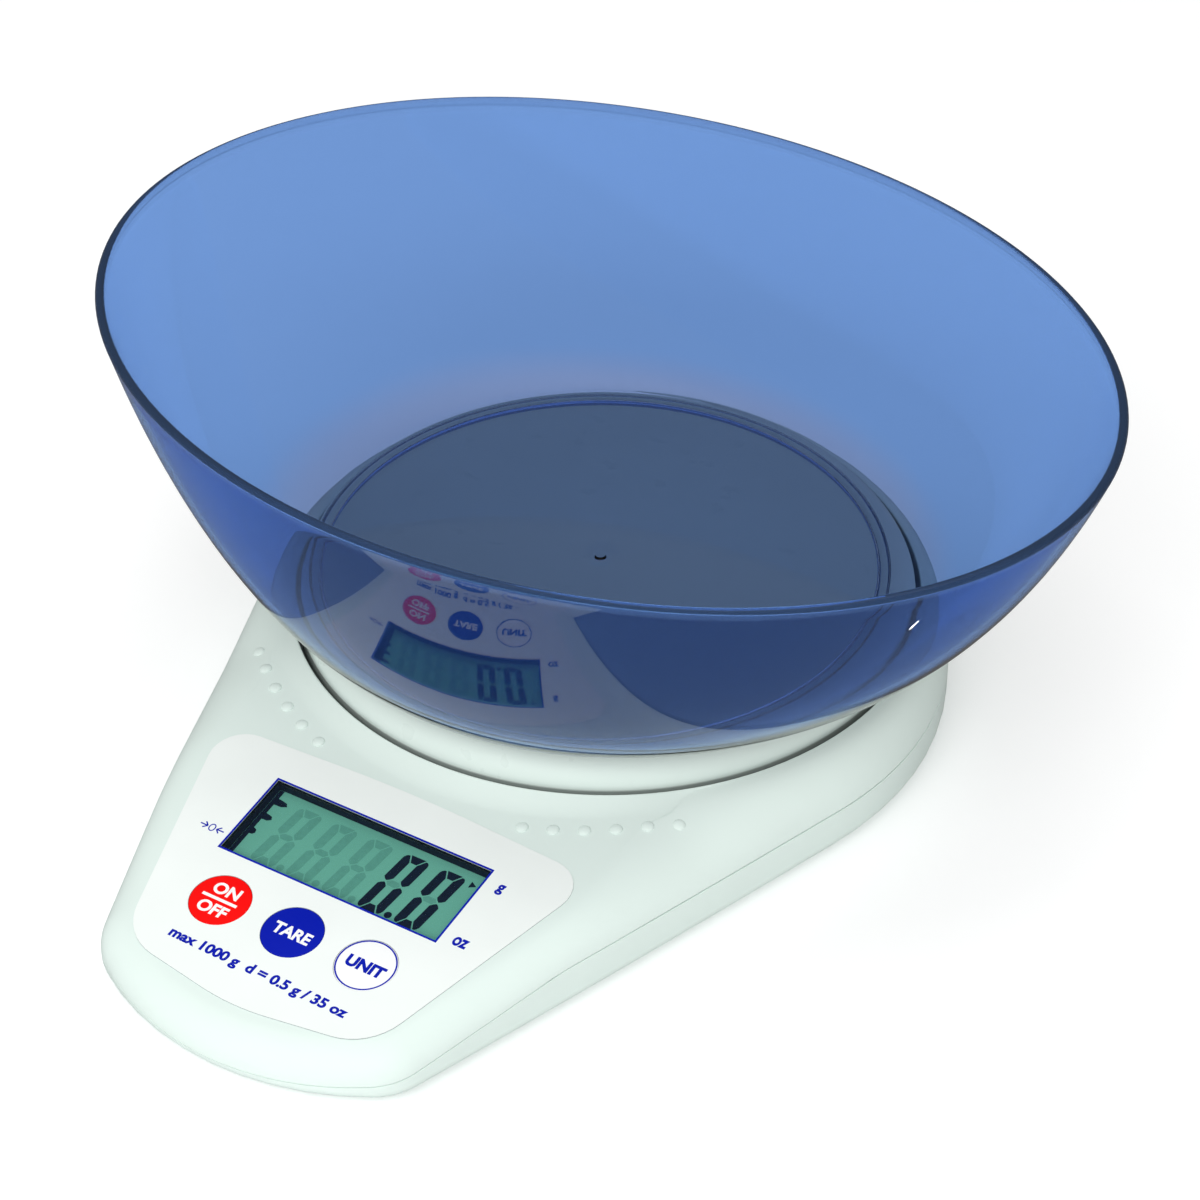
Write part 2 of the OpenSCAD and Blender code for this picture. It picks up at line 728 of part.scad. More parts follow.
module top_shell() {
    inner_r = well_r + well_t;
    ring_solid(concat(
        [for (j = [0 : crest_n]) crest_ring(0, collar_r, j)],
        [for (k = [0 : flank_n]) flank_ring(0, collar_r, k)],
        [
            round_ring(well_r, collar_h - collar_lip),
            round_ring(well_r, well_h),
            round_ring(well_opening / 2, well_h),
            round_ring(well_opening / 2, shelf_z),
            round_ring(inner_r, shelf_z)
        ],
        [for (k = [flank_n : -1 : 0]) flank_ring(wall, inner_r, k)],
        [for (j = [crest_n : -1 : 0]) crest_ring(wall, inner_r, j)]
    ), closed = true);
}

// The openings of the deck: window, pane rebate and buttons
module deck_cuts() {
    opening = 2 * (frame_wall + frame_fit);
    on_deck() {
        deck_plate(window_w + opening, window_h + opening, -1, wall + 1);
        deck_plate(window_w + 2 * pane_margin, window_h + 2 * pane_margin, -1, pane_t);
        for (x = button_x) translate([x, -button_row, -wall - 2])
            cylinder(r = button_r + button_gap, h = wall + 4);
    }
}

module board_post() {
    translate([0, 0, -board_depth]) difference() {
        cylinder(r = board_post_r, h = board_depth - wall / 2);
        translate([0, 0, -1])
            cylinder(d = board_screw_d + 2 * thread_clear, h = board_bite + 1.5);
    }
}

module top_housing() {
    color(abs_white) union() {
        difference() {
            placed() top_shell();
            deck_cuts();
        }
        for (p = board_posts) on_deck() at_post(p) board_post();
        placed() for (p = case_posts) at_post(p) difference() {
            translate([0, 0, case_seat_z]) cylinder(r = case_post_r, h = p.z - case_seat_z);
            translate([0, 0, case_seat_z - 1])
                cylinder(d = case_screw_d + 2 * thread_clear, h = case_bite + 1.5);
        }
    }
}

module bottom_tub() {
    steps = 4;
    ring_solid(concat(
        [for (j = [0 : steps]) flat_ring(
            base_edge_r * (1 - sin(90 * j / steps)), base_z + base_edge_r * (1 - cos(90 * j / steps))
        )],
        [seam_ring(0), seam_ring(wall), flat_ring(wall, floor_z)]
    ));
}

// The battery box without its opening, and the cut that opens it
module battery_box() {
    translate([-box_l / 2 - box_t, box_front - box_t, floor_z - eps])
        cube([box_l + 2 * box_t, box_rear - box_front + 2 * box_t, box_top + box_t - floor_z]);
    // Blocks that the door's hinge pins turn in
    block_w = hinge_l + 2;
    for (side = [-1, 1])
        translate([side * (box_l / 2 + block_w / 2 - 0.6) - block_w / 2, hinge_y - 3, floor_z - eps])
            cube([block_w, 6, hinge_z + hinge_d / 2 + box_t - floor_z]);
}

module battery_cut() {
    translate([-box_l / 2, box_front, base_z - 1])
        cube([box_l, box_rear - box_front, box_top - base_z + 1]);
    translate([0, hinge_y, hinge_z]) rotate([0, 90, 0])
        cylinder(d = hinge_d + 2 * hinge_gap, h = box_l + 2 * hinge_l + 0.6, center = true);
}

module bottom_housing() {
    color(abs_white) placed() difference() {
        union() {
            bottom_tub();
            battery_box();
            for (p = case_posts) at_post(p) translate([0, 0, floor_z - eps])
                cylinder(r = case_boss_r, h = case_seat_z - floor_z - seam_gap);
            translate([-beam_l / 2 - 2, -beam_w / 2 - 2, floor_z - eps])
                cube([spacer_l + 2, beam_w + 4, pedestal_h + eps]);
            // Stop that the beam's free end meets when the scale is overloaded
            translate([beam_l / 2 - spacer_l / 2, 0, floor_z - eps])
                cylinder(r = beam_w / 4, h = beam_z - 2 * platform_travel - floor_z);
        }
        battery_cut();
        for (p = case_posts) at_post(p) {
            translate([0, 0, base_z - 1])
                cylinder(d = case_screw_d + 2 * hole_clear, h = case_seat_z - base_z + 2);
            translate([0, 0, base_z - 1])
                cylinder(d = case_head_d + 2 * head_clear, h = case_seat_z - case_clamp_t - base_z + 1);
        }
        for (x = beam_screw_x) translate([-x, 0, base_z - 1]) {
            cylinder(d = beam_screw_d + 2 * hole_clear, h = beam_z - base_z + 1);
            cylinder(d = beam_head_d + 2 * head_clear, h = 1 + head_recess + screw_head_h);
        }
        for (p = foot_places) at_post(p) translate([0, 0, base_z - 1])
            cylinder(d = foot_d, h = 1 + foot_recess);
    }
}

module housing_screws() {
    color(steel) placed() for (p = case_posts) at_post(p)
        screw_up(
            case_screw_d, case_head_d, case_seat_z - case_clamp_t - screw_head_h,
            case_clamp_t + case_bite
        );
}

module rubber_feet() {
    color(rubber_grey) placed() for (p = foot_places) at_post(p)
        cylinder(d = foot_d, h = foot_h + foot_recess);
}

// ---- Label, display and buttons ------------------------------------------------

// Outline of the label in the deck's frame
module label_outline() {
    front = label_margin - window_from_nose;
    half_rear = label_w_rear / 2;
    half_front = label_w_front / 2;
    rear_end = label_rear - label_rear_sag;
    front_end = front + label_front_sag;
    polygon(rounded(
        [
            [half_rear, rear_end], [0, label_rear], [-half_rear, rear_end],
            [-half_front, front_end], [0, front], [half_front, front_end]
        ],
        [label_rear_r, label_rear_bow_r, label_rear_r, label_front_r, label_front_bow_r, label_front_r]
    ));
}

module overlay_label() {
    color(label_white) on_deck() linear_extrude(label_t) difference() {
        label_outline();
        square([window_w, window_h], center = true);
        for (x = button_x) translate([x, -button_row]) circle(r = button_r + button_gap);
    }
}

module display_window() {
    clear = 0.1;
    color(clear_pane) on_deck()
        deck_plate(window_w + 2 * (pane_margin - clear), window_h + 2 * (pane_margin - clear), 0, pane_t);
}

module display_frame() {
    color(black) on_deck() difference() {
        union() {
            deck_plate(window_w + 2 * frame_wall, window_h + 2 * frame_wall, pane_t, glass_depth);
            translate([0, 0, -0.1])
                deck_plate(
                    window_w + 2 * frame_flange, window_h + 2 * frame_flange,
                    housing_under, glass_depth - 0.1
                );
        }
        deck_plate(window_w, window_h, 0, glass_depth + 1);
    }
}

module display_film() {
    color(glass_green) on_deck()
        deck_plate(glass_w - 2, glass_h - 2, glass_depth, glass_depth + film_t);
}

module display_glass() {
    color(display_grey) on_deck() deck_plate(glass_w, glass_h, glass_depth + film_t, strip_depth);
}

// Rubber strip between the glass and the board; side is 1 at the rear
module contact_strip(side) {
    color(rubber_grey) on_deck() translate([0, side * (glass_h / 2 - strip_w / 2), 0])
        deck_plate(window_w, strip_w, strip_depth, board_depth);
}

module contact_strip_rear() {
    contact_strip(1);
}

module contact_strip_front() {
    contact_strip(-1);
}

module circuit_board() {
    color(board_green) on_deck() translate([0, 0, -board_depth - board_t]) linear_extrude(board_t)
        difference() {
            polygon([
                [-board_w_rear / 2, board_rear], [-board_w_rear / 2, -window_h / 2],
                [-board_w_front / 2, board_front], [board_w_front / 2, board_front],
                [board_w_rear / 2, -window_h / 2], [board_w_rear / 2, board_rear]
            ]);
            for (p = board_posts, side = [-1, 1]) translate([side * p.x, p.y])
                circle(d = board_screw_d + 2 * hole_clear);
        }
}

module board_screws() {
    color(steel) for (p = board_posts) on_deck() at_post(p)
        translate([0, 0, -board_depth - board_t - board_head_h]) {
            cylinder(d = board_head_d, h = board_head_h);
            translate([0, 0, board_head_h - eps]) cylinder(d = board_screw_d, h = board_t + board_bite);
        }
}

module chip_cover() {
    color(black) on_deck() translate([0, 2, -board_depth - board_t - chip_h])
        cylinder(d1 = chip_d - 4, d2 = chip_d, h = chip_h);
}

module button(x, shade) {
    color(shade) on_deck() translate([x, -button_row, 0]) {
        translate([0, 0, -flange_low]) cylinder(r = button_r, h = flange_low + label_t);
        translate([0, 0, -flange_low]) cylinder(r = button_r + button_flange, h = button_flange_t);
    }
}

module button_on_off() {
    button(button_x[0], button_red);
}

module button_tare() {
    button(button_x[1], button_blue);
}

module button_unit() {
    button(button_x[2], label_white);
}

module switch(x) {
    color(black) on_deck() translate([x, -button_row, 0]) difference() {
        deck_plate(switch_w, switch_w, switch_depth, board_depth);
        translate([0, 0, -switch_depth - switch_bore])
            cylinder(d = plunger_d + 2 * plunger_gap, h = switch_bore + 1);
    }
}

module switch_on_off() {
    switch(button_x[0]);
}

module switch_tare() {
    switch(button_x[1]);
}

module switch_unit() {
    switch(button_x[2]);
}

module plunger(x) {
    low = switch_depth + switch_bore - 2 * button_travel;
    color(plunger_ivory) on_deck() translate([x, -button_row, -low])
        cylinder(d = plunger_d, h = low - flange_low);
}

module plunger_on_off() {
    plunger(button_x[0]);
}

module plunger_tare() {
    plunger(button_x[1]);
}

module plunger_unit() {
    plunger(button_x[2]);
}

// ---- Batteries -----------------------------------------------------------------

module battery_door() {
    color(abs_white) placed() difference() {
        union() {
            translate([-box_l / 2 + door_gap, hinge_y - hinge_knuckle_r, base_z])
                cube([box_l - 2 * door_gap, box_rear - door_gap - hinge_y + hinge_knuckle_r, door_t]);
            translate([0, hinge_y, hinge_z]) rotate([0, 90, 0])
                cylinder(r = hinge_knuckle_r, h = box_l - 2 * door_gap, center = true);
            translate([-box_l / 2 + door_gap, hinge_y - hinge_knuckle_r, base_z])
                cube([box_l - 2 * door_gap, 2 * hinge_knuckle_r, hinge_z - base_z]);
            translate([0, hinge_y, hinge_z]) rotate([0, 90, 0])
                cylinder(d = hinge_d, h = box_l + 2 * hinge_l - 0.2, center = true);
        }
        // Thumb grips on the outside
        for (i = [0 : 3]) translate([-8, box_rear - 5 - 2.4 * i, base_z - 1])
            cube([16, 1.2, 1.4]);
    }
}

// A cell that lies along X; its nub points to side
module cell(side, y) {
    nub = 1;
    shift = side * (spring_l - contact_t) / 2;
    placed() translate([shift - side * cell_l / 2, y, cell_z]) rotate([0, side * 90, 0]) {
        cylinder(d = cell_d, h = cell_l - nub);
        cylinder(d = 3.8, h = cell_l);
    }
}

module battery_front() {
    color(cell_green) cell(1, cell_front_y);
}

module battery_rear() {
    color(cell_green) cell(-1, cell_rear_y);
}

// A coned spring that presses on a cell's flat end; side is the end of the box
module battery_spring(side, y) {
    gap = 0.1;
    low_r = cell_r - 1;
    length = box_l / 2 - gap - (cell_l - spring_l + contact_t) / 2 - gap;
    color(steel) placed() translate([side * (box_l / 2 - gap), y, cell_z]) rotate([0, -side * 90, 0])
        rotate_extrude() polygon([
            [low_r - 1, 0], [low_r, 0], [low_r - 0.6, length / 3], [2.2, length], [1.4, length],
            [low_r - 1.6, length / 3]
        ]);
}

module battery_spring_left() {
    battery_spring(-1, cell_front_y);
}

module battery_spring_right() {
    battery_spring(1, cell_rear_y);
}

module battery_plate(side, y) {
    gap = 0.05;
    color(steel) placed() translate([
        side * (box_l / 2 - gap) - (side > 0 ? contact_t : 0), y - cell_r + 1, cell_z - cell_r + 1
    ]) cube([contact_t, cell_d - 2, cell_d - 2]);
}

module battery_plate_left() {
    battery_plate(-1, cell_rear_y);
}

module battery_plate_right() {
    battery_plate(1, cell_front_y);
}

// ---- Wires ---------------------------------------------------------------------

module load_cell_cable() {
    color(cable_grey) placed() tube(cable_route, cable_d);
}

module battery_wire_red() {
    color(wire_red) placed() tube(red_route, wire_d);
}

module battery_wire_black() {
    color(black) placed() tube(black_route, wire_d);
}

bowl();
platform();
platform_bracket();
platform_screws();
load_cell();
strain_gauge_top();
strain_gauge_bottom();
load_cell_base_spacer();
load_cell_top_spacer();
load_cell_base_screws();
load_cell_top_screws();
top_housing();
bottom_housing();
housing_screws();
rubber_feet();
overlay_label();
display_window();
display_frame();
display_film();
display_glass();
contact_strip_rear();
contact_strip_front();
circuit_board();
board_screws();
chip_cover();
button_on_off();
button_tare();
button_unit();
switch_on_off();
switch_tare();
switch_unit();
plunger_on_off();
plunger_tare();
plunger_unit();
battery_door();
battery_front();
battery_rear();
battery_spring_left();
battery_spring_right();
battery_plate_left();
battery_plate_right();
load_cell_cable();
battery_wire_red();
battery_wire_black();
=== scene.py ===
"""Visual model of an electronic kitchen scale with a loose oval bowl.

Sizes are in millimetres in the frame's own axes: X is the width, the display
faces -Y and the feet stand on z = 0. Meshes are scaled to metres last. Finishes,
lamps and the camera are in metres from the start.
"""

import logging
import math
from dataclasses import dataclass, field
from enum import Enum
from typing import Callable, Iterable, Sequence

import bmesh
import bpy
from mathutils import Matrix, Vector


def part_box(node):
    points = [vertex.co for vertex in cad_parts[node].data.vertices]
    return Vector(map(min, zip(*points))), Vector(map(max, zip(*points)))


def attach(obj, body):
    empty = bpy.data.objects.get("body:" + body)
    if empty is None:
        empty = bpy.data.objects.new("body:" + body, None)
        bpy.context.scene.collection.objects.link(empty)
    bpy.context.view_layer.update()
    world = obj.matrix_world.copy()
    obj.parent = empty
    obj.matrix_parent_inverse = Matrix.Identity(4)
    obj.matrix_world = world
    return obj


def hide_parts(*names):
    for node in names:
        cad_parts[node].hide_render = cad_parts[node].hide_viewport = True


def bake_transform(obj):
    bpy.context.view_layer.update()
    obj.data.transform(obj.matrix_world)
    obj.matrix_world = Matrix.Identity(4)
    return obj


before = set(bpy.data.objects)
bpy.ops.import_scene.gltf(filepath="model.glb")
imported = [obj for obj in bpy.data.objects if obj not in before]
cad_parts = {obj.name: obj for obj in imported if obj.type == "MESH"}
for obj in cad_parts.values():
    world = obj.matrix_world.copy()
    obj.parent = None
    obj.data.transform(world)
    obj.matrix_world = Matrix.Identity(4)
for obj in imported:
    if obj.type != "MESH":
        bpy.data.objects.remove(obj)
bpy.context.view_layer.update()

LOG = logging.getLogger("kitchen_scale")

# Metres in a millimetre.
MM = 0.001
# Distance below which points merge in new shapes, in copied CAD meshes and in letters.
WELD = 1e-4
COPY_WELD = 1e-3
LETTER_WELD = 1e-5
# Thickness of printed ink.
INK_T = 0.03

Colour = tuple[float, float, float]
Pair = tuple[float, float]
# Half width, half depth and height of one ring of the bowl.
Oval = tuple[float, float, float]
Shape = bmesh.types.BMesh
Socket = bpy.types.NodeSocket


class Body(Enum):
    """Bodies of the frame that new pieces ride on."""

    HOUSING = "housing"
    PLATFORM = "weighing_platform"
    BOWL = "mixing_bowl"
    ON_OFF = "on_off_button"
    TARE = "tare_button"
    UNIT = "unit_button"


def srgb(red: int, green: int, blue: int) -> Colour:
    """Turns an 8-bit display colour into a linear one.

    Args:
        red: Red from 0 to 255.
        green: Green from 0 to 255.
        blue: Blue from 0 to 255.

    Returns:
        The linear colour, each channel from 0 to 1.
    """

    def channel(value: int) -> float:
        """Returns one channel, linear."""
        share = value / 255
        return share / 12.92 if share <= 0.04045 else ((share + 0.055) / 1.055) ** 2.4

    return channel(red), channel(green), channel(blue)


def shade(colour: Colour, factor: float) -> Colour:
    """Returns a colour made brighter or darker by a factor."""
    return tuple(min(1.0, channel * factor) for channel in colour)


# ---- Node trees ----------------------------------------------------------------------


class Wiring:
    """A node tree, with short calls that add and join its nodes."""

    def __init__(self, tree: bpy.types.NodeTree) -> None:
        """Takes the tree that the nodes go into."""
        self.tree = tree

    def add(self, kind: str, **settings: object) -> bpy.types.Node:
        """Adds a node.

        Args:
            kind: Blender's name of the node type.
            **settings: Properties of the node.

        Returns:
            The new node.
        """
        node = self.tree.nodes.new(kind)
        for key, value in settings.items():
            setattr(node, key, value)
        return node

    def feed(self, node: bpy.types.Node, values: dict) -> bpy.types.Node:
        """Sets or links inputs of a node.

        Args:
            node: The node to feed.
            values: Input name or number to a value, or to a socket that is linked to it.

        Returns:
            The same node.
        """
        for key, value in values.items():
            if isinstance(value, Socket):
                self.tree.links.new(value, node.inputs[key])
            else:
                node.inputs[key].default_value = value
        return node

    def made(self, kind: str, output: str | int, values: dict, **settings: object) -> Socket:
        """Adds a node and feeds it.

        Args:
            kind: Blender's name of the node type.
            output: Name or number of the output that is wanted.
            values: Input name or number to a value or a socket.
            **settings: Properties of the node.

        Returns:
            The socket of that output.
        """
        return self.feed(self.add(kind, **settings), values).outputs[output]

    def axis(self, vector: Socket, letter: str) -> Socket:
        """Returns a vector's X, Y or Z."""
        return self.made("ShaderNodeSeparateXYZ", letter, {"Vector": vector})

    def sums(self, operation: str, *values: float | Socket) -> Socket:
        """Returns what a Math node makes of up to three values."""
        return self.made("ShaderNodeMath", "Value", dict(enumerate(values)), operation=operation)

    def fade(self, value: Socket, start: float, end: float, first: float | Socket = 0.0,
             last: float | Socket = 1.0) -> Socket:
        """Changes from one level to another as a value rises.

        Args:
            value: The value.
            start: Where the change begins.
            end: Where it is complete.
            first: The level below start.
            last: The level above end.

        Returns:
            The socket of the level.
        """
        return self.made("ShaderNodeMapRange", "Result", {
            "Value": value, "From Min": start, "From Max": end, "To Min": first, "To Max": last,
        })

    def ramp(self, factor: Socket, stops: Sequence[tuple[float, Colour]],
             stepped: bool = False) -> Socket:
        """Adds a colour ramp.

        Args:
            factor: The socket that picks the colour.
            stops: Position and colour of each stop.
            stepped: Whether colours change in steps.

        Returns:
            The colour socket.
        """
        node = self.feed(self.add("ShaderNodeValToRGB"), {"Fac": factor})
        node.color_ramp.interpolation = "CONSTANT" if stepped else "LINEAR"
        elements = node.color_ramp.elements
        while len(elements) < len(stops):
            elements.new(0.5)
        for element, (position, colour) in zip(elements, stops):
            element.position = position
            element.color = (*colour, 1)
        return node.outputs["Color"]


class Graph(Wiring):
    """One material's node tree."""

    def __init__(self, name: str) -> None:
        """Starts an empty material.

        Args:
            name: Name of the material.
        """
        self.material = bpy.data.materials.new(name)
        self.material.use_nodes = True
        super().__init__(self.material.node_tree)
        self.tree.nodes.clear()
        self.output = self.add("ShaderNodeOutputMaterial")
        self.place = self.add("ShaderNodeTexCoord").outputs["Object"]

    def noise(self, cells: float, detail: float, stretch: Sequence[float] = (1, 1, 1)) -> Socket:
        """Adds a noise pattern.

        Args:
            cells: Number of cells in a metre.
            detail: Octaves of finer noise.
            stretch: Factor on each axis, small along the grain.

        Returns:
            The noise's factor socket.
        """
        spot = self.made("ShaderNodeMapping", "Vector", {
            "Vector": self.place, "Scale": tuple(stretch),
        })
        return self.made("ShaderNodeTexNoise", "Fac", {
            "Vector": spot, "Scale": cells, "Detail": detail,
        })

    def spread(self, pattern: Socket, low: float, high: float) -> Socket:
        """Returns a level that goes from low to high over a pattern's middle range."""
        return self.fade(pattern, 0.25, 0.75, low, high)

    def mottled(self, colour: Colour, pattern: Socket, dark: float, bright: float) -> Socket:
        """Varies a colour with a pattern.

        Args:
            colour: The colour.
            pattern: The pattern.
            dark: Factor on the colour where the pattern is dark.
            bright: Factor on it where the pattern is bright.

        Returns:
            The colour socket.
        """
        return self.ramp(pattern, [(0.3, shade(colour, dark)), (0.7, shade(colour, bright))])

    def mixed(self, share: Socket, first: object, second: object) -> Socket:
        """Mixes two colours.

        Args:
            share: Share of the second.
            first: The first, as a socket or with its alpha.
            second: The second, as a socket or with its alpha.

        Returns:
            The colour socket.
        """
        return self.made("ShaderNodeMix", 2, {0: share, 6: first, 7: second}, data_type="RGBA")

    def bump(self, height: Socket, depth: float, strength: float,
             under: Socket | None = None) -> Socket:
        """Adds a bump.

        Args:
            height: Pattern that gives the height.
            depth: Height of the bumps in metres.
            strength: Share of the effect.
            under: Normal of a coarser bump below this one.

        Returns:
            The normal socket.
        """
        values = {"Height": height, "Distance": depth, "Strength": strength}
        if under is not None:
            values["Normal"] = under
        return self.made("ShaderNodeBump", "Normal", values)

    def principled(self, values: dict) -> Socket:
        """Adds a Principled shader and returns its socket."""
        return self.made("ShaderNodeBsdfPrincipled", "BSDF", values)

    def close(self, surface: Socket) -> bpy.types.Material:
        """Links the surface and returns the finished material."""
        self.feed(self.output, {"Surface": surface})
        return self.material


# ---- Finishes ------------------------------------------------------------------------


@dataclass(frozen=True)
class Finish:
    """Base of all finishes.

    Attributes:
        name: Name of the material.
        slot: The record's material slot that the finish stands for; not used.
    """

    name: str
    slot: str

    def material(self) -> bpy.types.Material:
        """Returns the material, built once."""
        title = f"finish_{self.name}"
        return bpy.data.materials.get(title) or self.build(Graph(title))

    def build(self, g: Graph) -> bpy.types.Material:
        """Fills the material's graph and returns the material."""
        raise NotImplementedError


@dataclass(frozen=True)
class MouldedPlastic(Finish):
    """Injection-moulded plastic with a fine satin grain, slight tone drift and, where set, painted
    shade in the gap around the platform.

    Attributes:
        colour: Its colour.
        roughness: Its mean roughness.
        grain: Cells of the grain in a metre.
        grain_depth: Height of the grain.
        drift: Share by which the tone drifts.
        shine: Its specular level.
        gap_shade: Factor on the colour for the painted shade in the gap around the platform, 1
            where there is none.
        gap_r: Radius of the gap's outer wall.
        gap_fade: Width over which the painted shade ends outside it.
        gap_top: Height of the gap's mouth.
        shade_fade: Height over which the painted shade ends below it.
    """

    colour: Colour
    roughness: float = 0.36
    grain: float = 1900.0
    grain_depth: float = 6e-6
    drift: float = 0.02
    shine: float = 0.5
    gap_shade: float = 1.0
    gap_r: float = 0.0762
    gap_fade: float = 0.0002
    gap_top: float = 0.0274
    shade_fade: float = 0.0006

    def painted_gap_shade(self, g: Graph, tone: Socket) -> Socket:
        """Paints shade on the walls of the gap around the platform.

        Args:
            g: The material's graph.
            tone: The plastic's colour without the painted shade.

        Returns:
            The colour with painted shade in its gap.
        """
        low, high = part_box("platform")
        centre = ((low.x + high.x) / 2, (low.y + high.y) / 2, 0.0)
        offset = g.made("ShaderNodeVectorMath", 0, {0: g.place, 1: centre}, operation="SUBTRACT")
        level = g.made("ShaderNodeVectorMath", 0, {0: offset, 1: (1, 1, 0)}, operation="MULTIPLY")
        reach = g.made("ShaderNodeVectorMath", "Value", {0: level}, operation="LENGTH")
        inside = g.fade(reach, self.gap_r, self.gap_r + self.gap_fade, 1.0, 0.0)
        below = g.fade(
            g.axis(g.place, "Z"), self.gap_top - self.shade_fade, self.gap_top, 1.0, 0.0
        )
        # Darker copy of the colour: painted shade for the gap's walls.
        gap_shade_colour = (*shade(self.colour, self.gap_shade), 1)
        return g.mixed(g.sums("MULTIPLY", inside, below), tone, gap_shade_colour)

    def build(self, g: Graph) -> bpy.types.Material:
        """Builds tone, gloss and grain from noises.

        Args:
            g: The material's graph.

        Returns:
            The finished material.
        """
        tone = g.mottled(self.colour, g.noise(cells=18, detail=3), 1 - self.drift, 1 + self.drift)
        # Painted shade: the gap around the platform is darkened in the colour.
        if self.gap_shade < 1:
            tone = self.painted_gap_shade(g, tone)
        gloss = g.spread(
            g.noise(cells=140, detail=4), self.roughness - 0.04, self.roughness + 0.04
        )
        waves = g.bump(g.noise(cells=55, detail=1), depth=3e-5, strength=0.25)
        grain = g.noise(cells=self.grain, detail=3)
        return g.close(g.principled({
            "Base Color": tone, "Roughness": gloss, "IOR": 1.5, "Specular IOR Level": self.shine,
            "Normal": g.bump(grain, depth=self.grain_depth, strength=0.6, under=waves),
        }))


@dataclass(frozen=True)
class ClearPlastic(Finish):
    """Clear plastic, tinted through its thickness; lamps reach what lies behind it.

    Attributes:
        ior: Its index of refraction.
        roughness: Its mean roughness.
        tint: Colour of its surface.
        density: Strength of the tint inside, 0 where there is none.
        absorbed: Colour of the tint inside.
        passed: Share of the lamps' light that goes through.
        flow: Height of the flow marks.
        base_tint: Colour of its surface in the base, or None where it is the same.
        base_top: Height at which the base ends.
        base_fade: Height over which the base's colour turns into the tint.
        rim_low: Height at which the rim begins.
        rim_fade: Height over which the rim turns dull.
        rim_clear: Share of the rim that stays clear.
    """

    ior: float
    roughness: float = 0.006
    tint: Colour = (1.0, 1.0, 1.0)
    density: float = 0.0
    absorbed: Colour = (1.0, 1.0, 1.0)
    passed: float = 1.0
    flow: float = 8e-6
    base_tint: Colour | None = None
    base_top: float = 0.0
    base_fade: float = 0.006
    rim_low: float = 0.0
    rim_fade: float = 0.0007
    rim_clear: float = 1.0

    def build(self, g: Graph) -> bpy.types.Material:
        """Builds polished plastic with faint flow marks, and its tint as a volume.

        Args:
            g: The material's graph.

        Returns:
            The finished material.
        """
        gloss = g.spread(
            g.noise(cells=260, detail=3), self.roughness * 0.7, self.roughness * 1.5
        )
        marks = g.noise(cells=16, detail=1, stretch=(1, 1, 2.5))
        clear = g.principled({
            "Base Color": (*self.tint, 1), "Transmission Weight": 1.0, "IOR": self.ior,
            "Roughness": gloss, "Normal": g.bump(marks, depth=self.flow, strength=0.5),
        })
        if self.base_tint:
            height = g.axis(g.place, "Z")
            above = g.fade(height, self.base_top, self.base_top + self.base_fade)
            rim = g.fade(height, self.rim_low, self.rim_low + self.rim_fade, 1.0, self.rim_clear)
            g.feed(clear.node, {
                "Base Color": g.ramp(above, [(0.0, self.base_tint), (1.0, self.tint)]),
                "Transmission Weight": rim,
            })
        passing = g.made("ShaderNodeBsdfTransparent", "BSDF", {"Color": (*(self.passed,) * 3, 1)})
        rays = g.add("ShaderNodeLightPath")
        surface = clear
        for ray in ("Is Diffuse Ray", "Is Shadow Ray"):
            surface = g.made("ShaderNodeMixShader", "Shader", {
                0: rays.outputs[ray], 1: surface, 2: passing,
            })
        if self.density:
            tinted = g.made("ShaderNodeVolumeAbsorption", "Volume", {
                "Color": (*self.absorbed, 1), "Density": self.density,
            })
            g.feed(g.output, {"Volume": tinted})
        return g.close(surface)


@dataclass(frozen=True)
class PrintInk(Finish):
    """Screen-printed ink with a slightly uneven film."""

    colour: Colour
    roughness: float = 0.42
    shine: float = 0.2

    def build(self, g: Graph) -> bpy.types.Material:
        """Builds an even tone with pinholes of gloss.

        Args:
            g: The material's graph.

        Returns:
            The finished material.
        """
        gloss = g.spread(
            g.noise(cells=1600, detail=2), self.roughness - 0.06, self.roughness + 0.06
        )
        return g.close(g.principled({
            "Base Color": g.mottled(self.colour, g.noise(cells=900, detail=3), 0.94, 1.05),
            "Roughness": gloss, "Specular IOR Level": self.shine,
            "Normal": g.bump(g.noise(cells=2400, detail=2), depth=3e-6, strength=0.4),
        }))


@dataclass(frozen=True)
class SatinFilm(Finish):
    """Printed polyester film with an orange-peel surface.

    Attributes:
        colour: Its colour.
        roughness: Its mean roughness.
        peel: Height of the orange peel.
        shine: Its specular level.
        edge: Colour of its cut edge, or None where it is the same.
        edge_tilt: Upward share of a normal from which a face counts as the top.
    """

    colour: Colour
    roughness: float = 0.34
    peel: float = 4e-6
    shine: float = 0.2
    edge: Colour | None = None
    edge_tilt: Pair = (0.45, 0.55)

    def build(self, g: Graph) -> bpy.types.Material:
        """Builds the film's tone, gloss and peel.

        Args:
            g: The material's graph.

        Returns:
            The finished material.
        """
        tone = g.mottled(self.colour, g.noise(cells=60, detail=2), 0.985, 1.01)
        gloss = g.spread(
            g.noise(cells=700, detail=2), self.roughness - 0.03, self.roughness + 0.05
        )
        if self.edge:
            facing = g.axis(g.add("ShaderNodeNewGeometry").outputs["Normal"], "Z")
            tone = g.mixed(g.fade(facing, *self.edge_tilt), (*self.edge, 1), tone)
        return g.close(g.principled({
            "Base Color": tone, "Roughness": gloss, "Specular IOR Level": self.shine,
            "Normal": g.bump(g.noise(cells=1300, detail=1), depth=self.peel, strength=0.7),
        }))


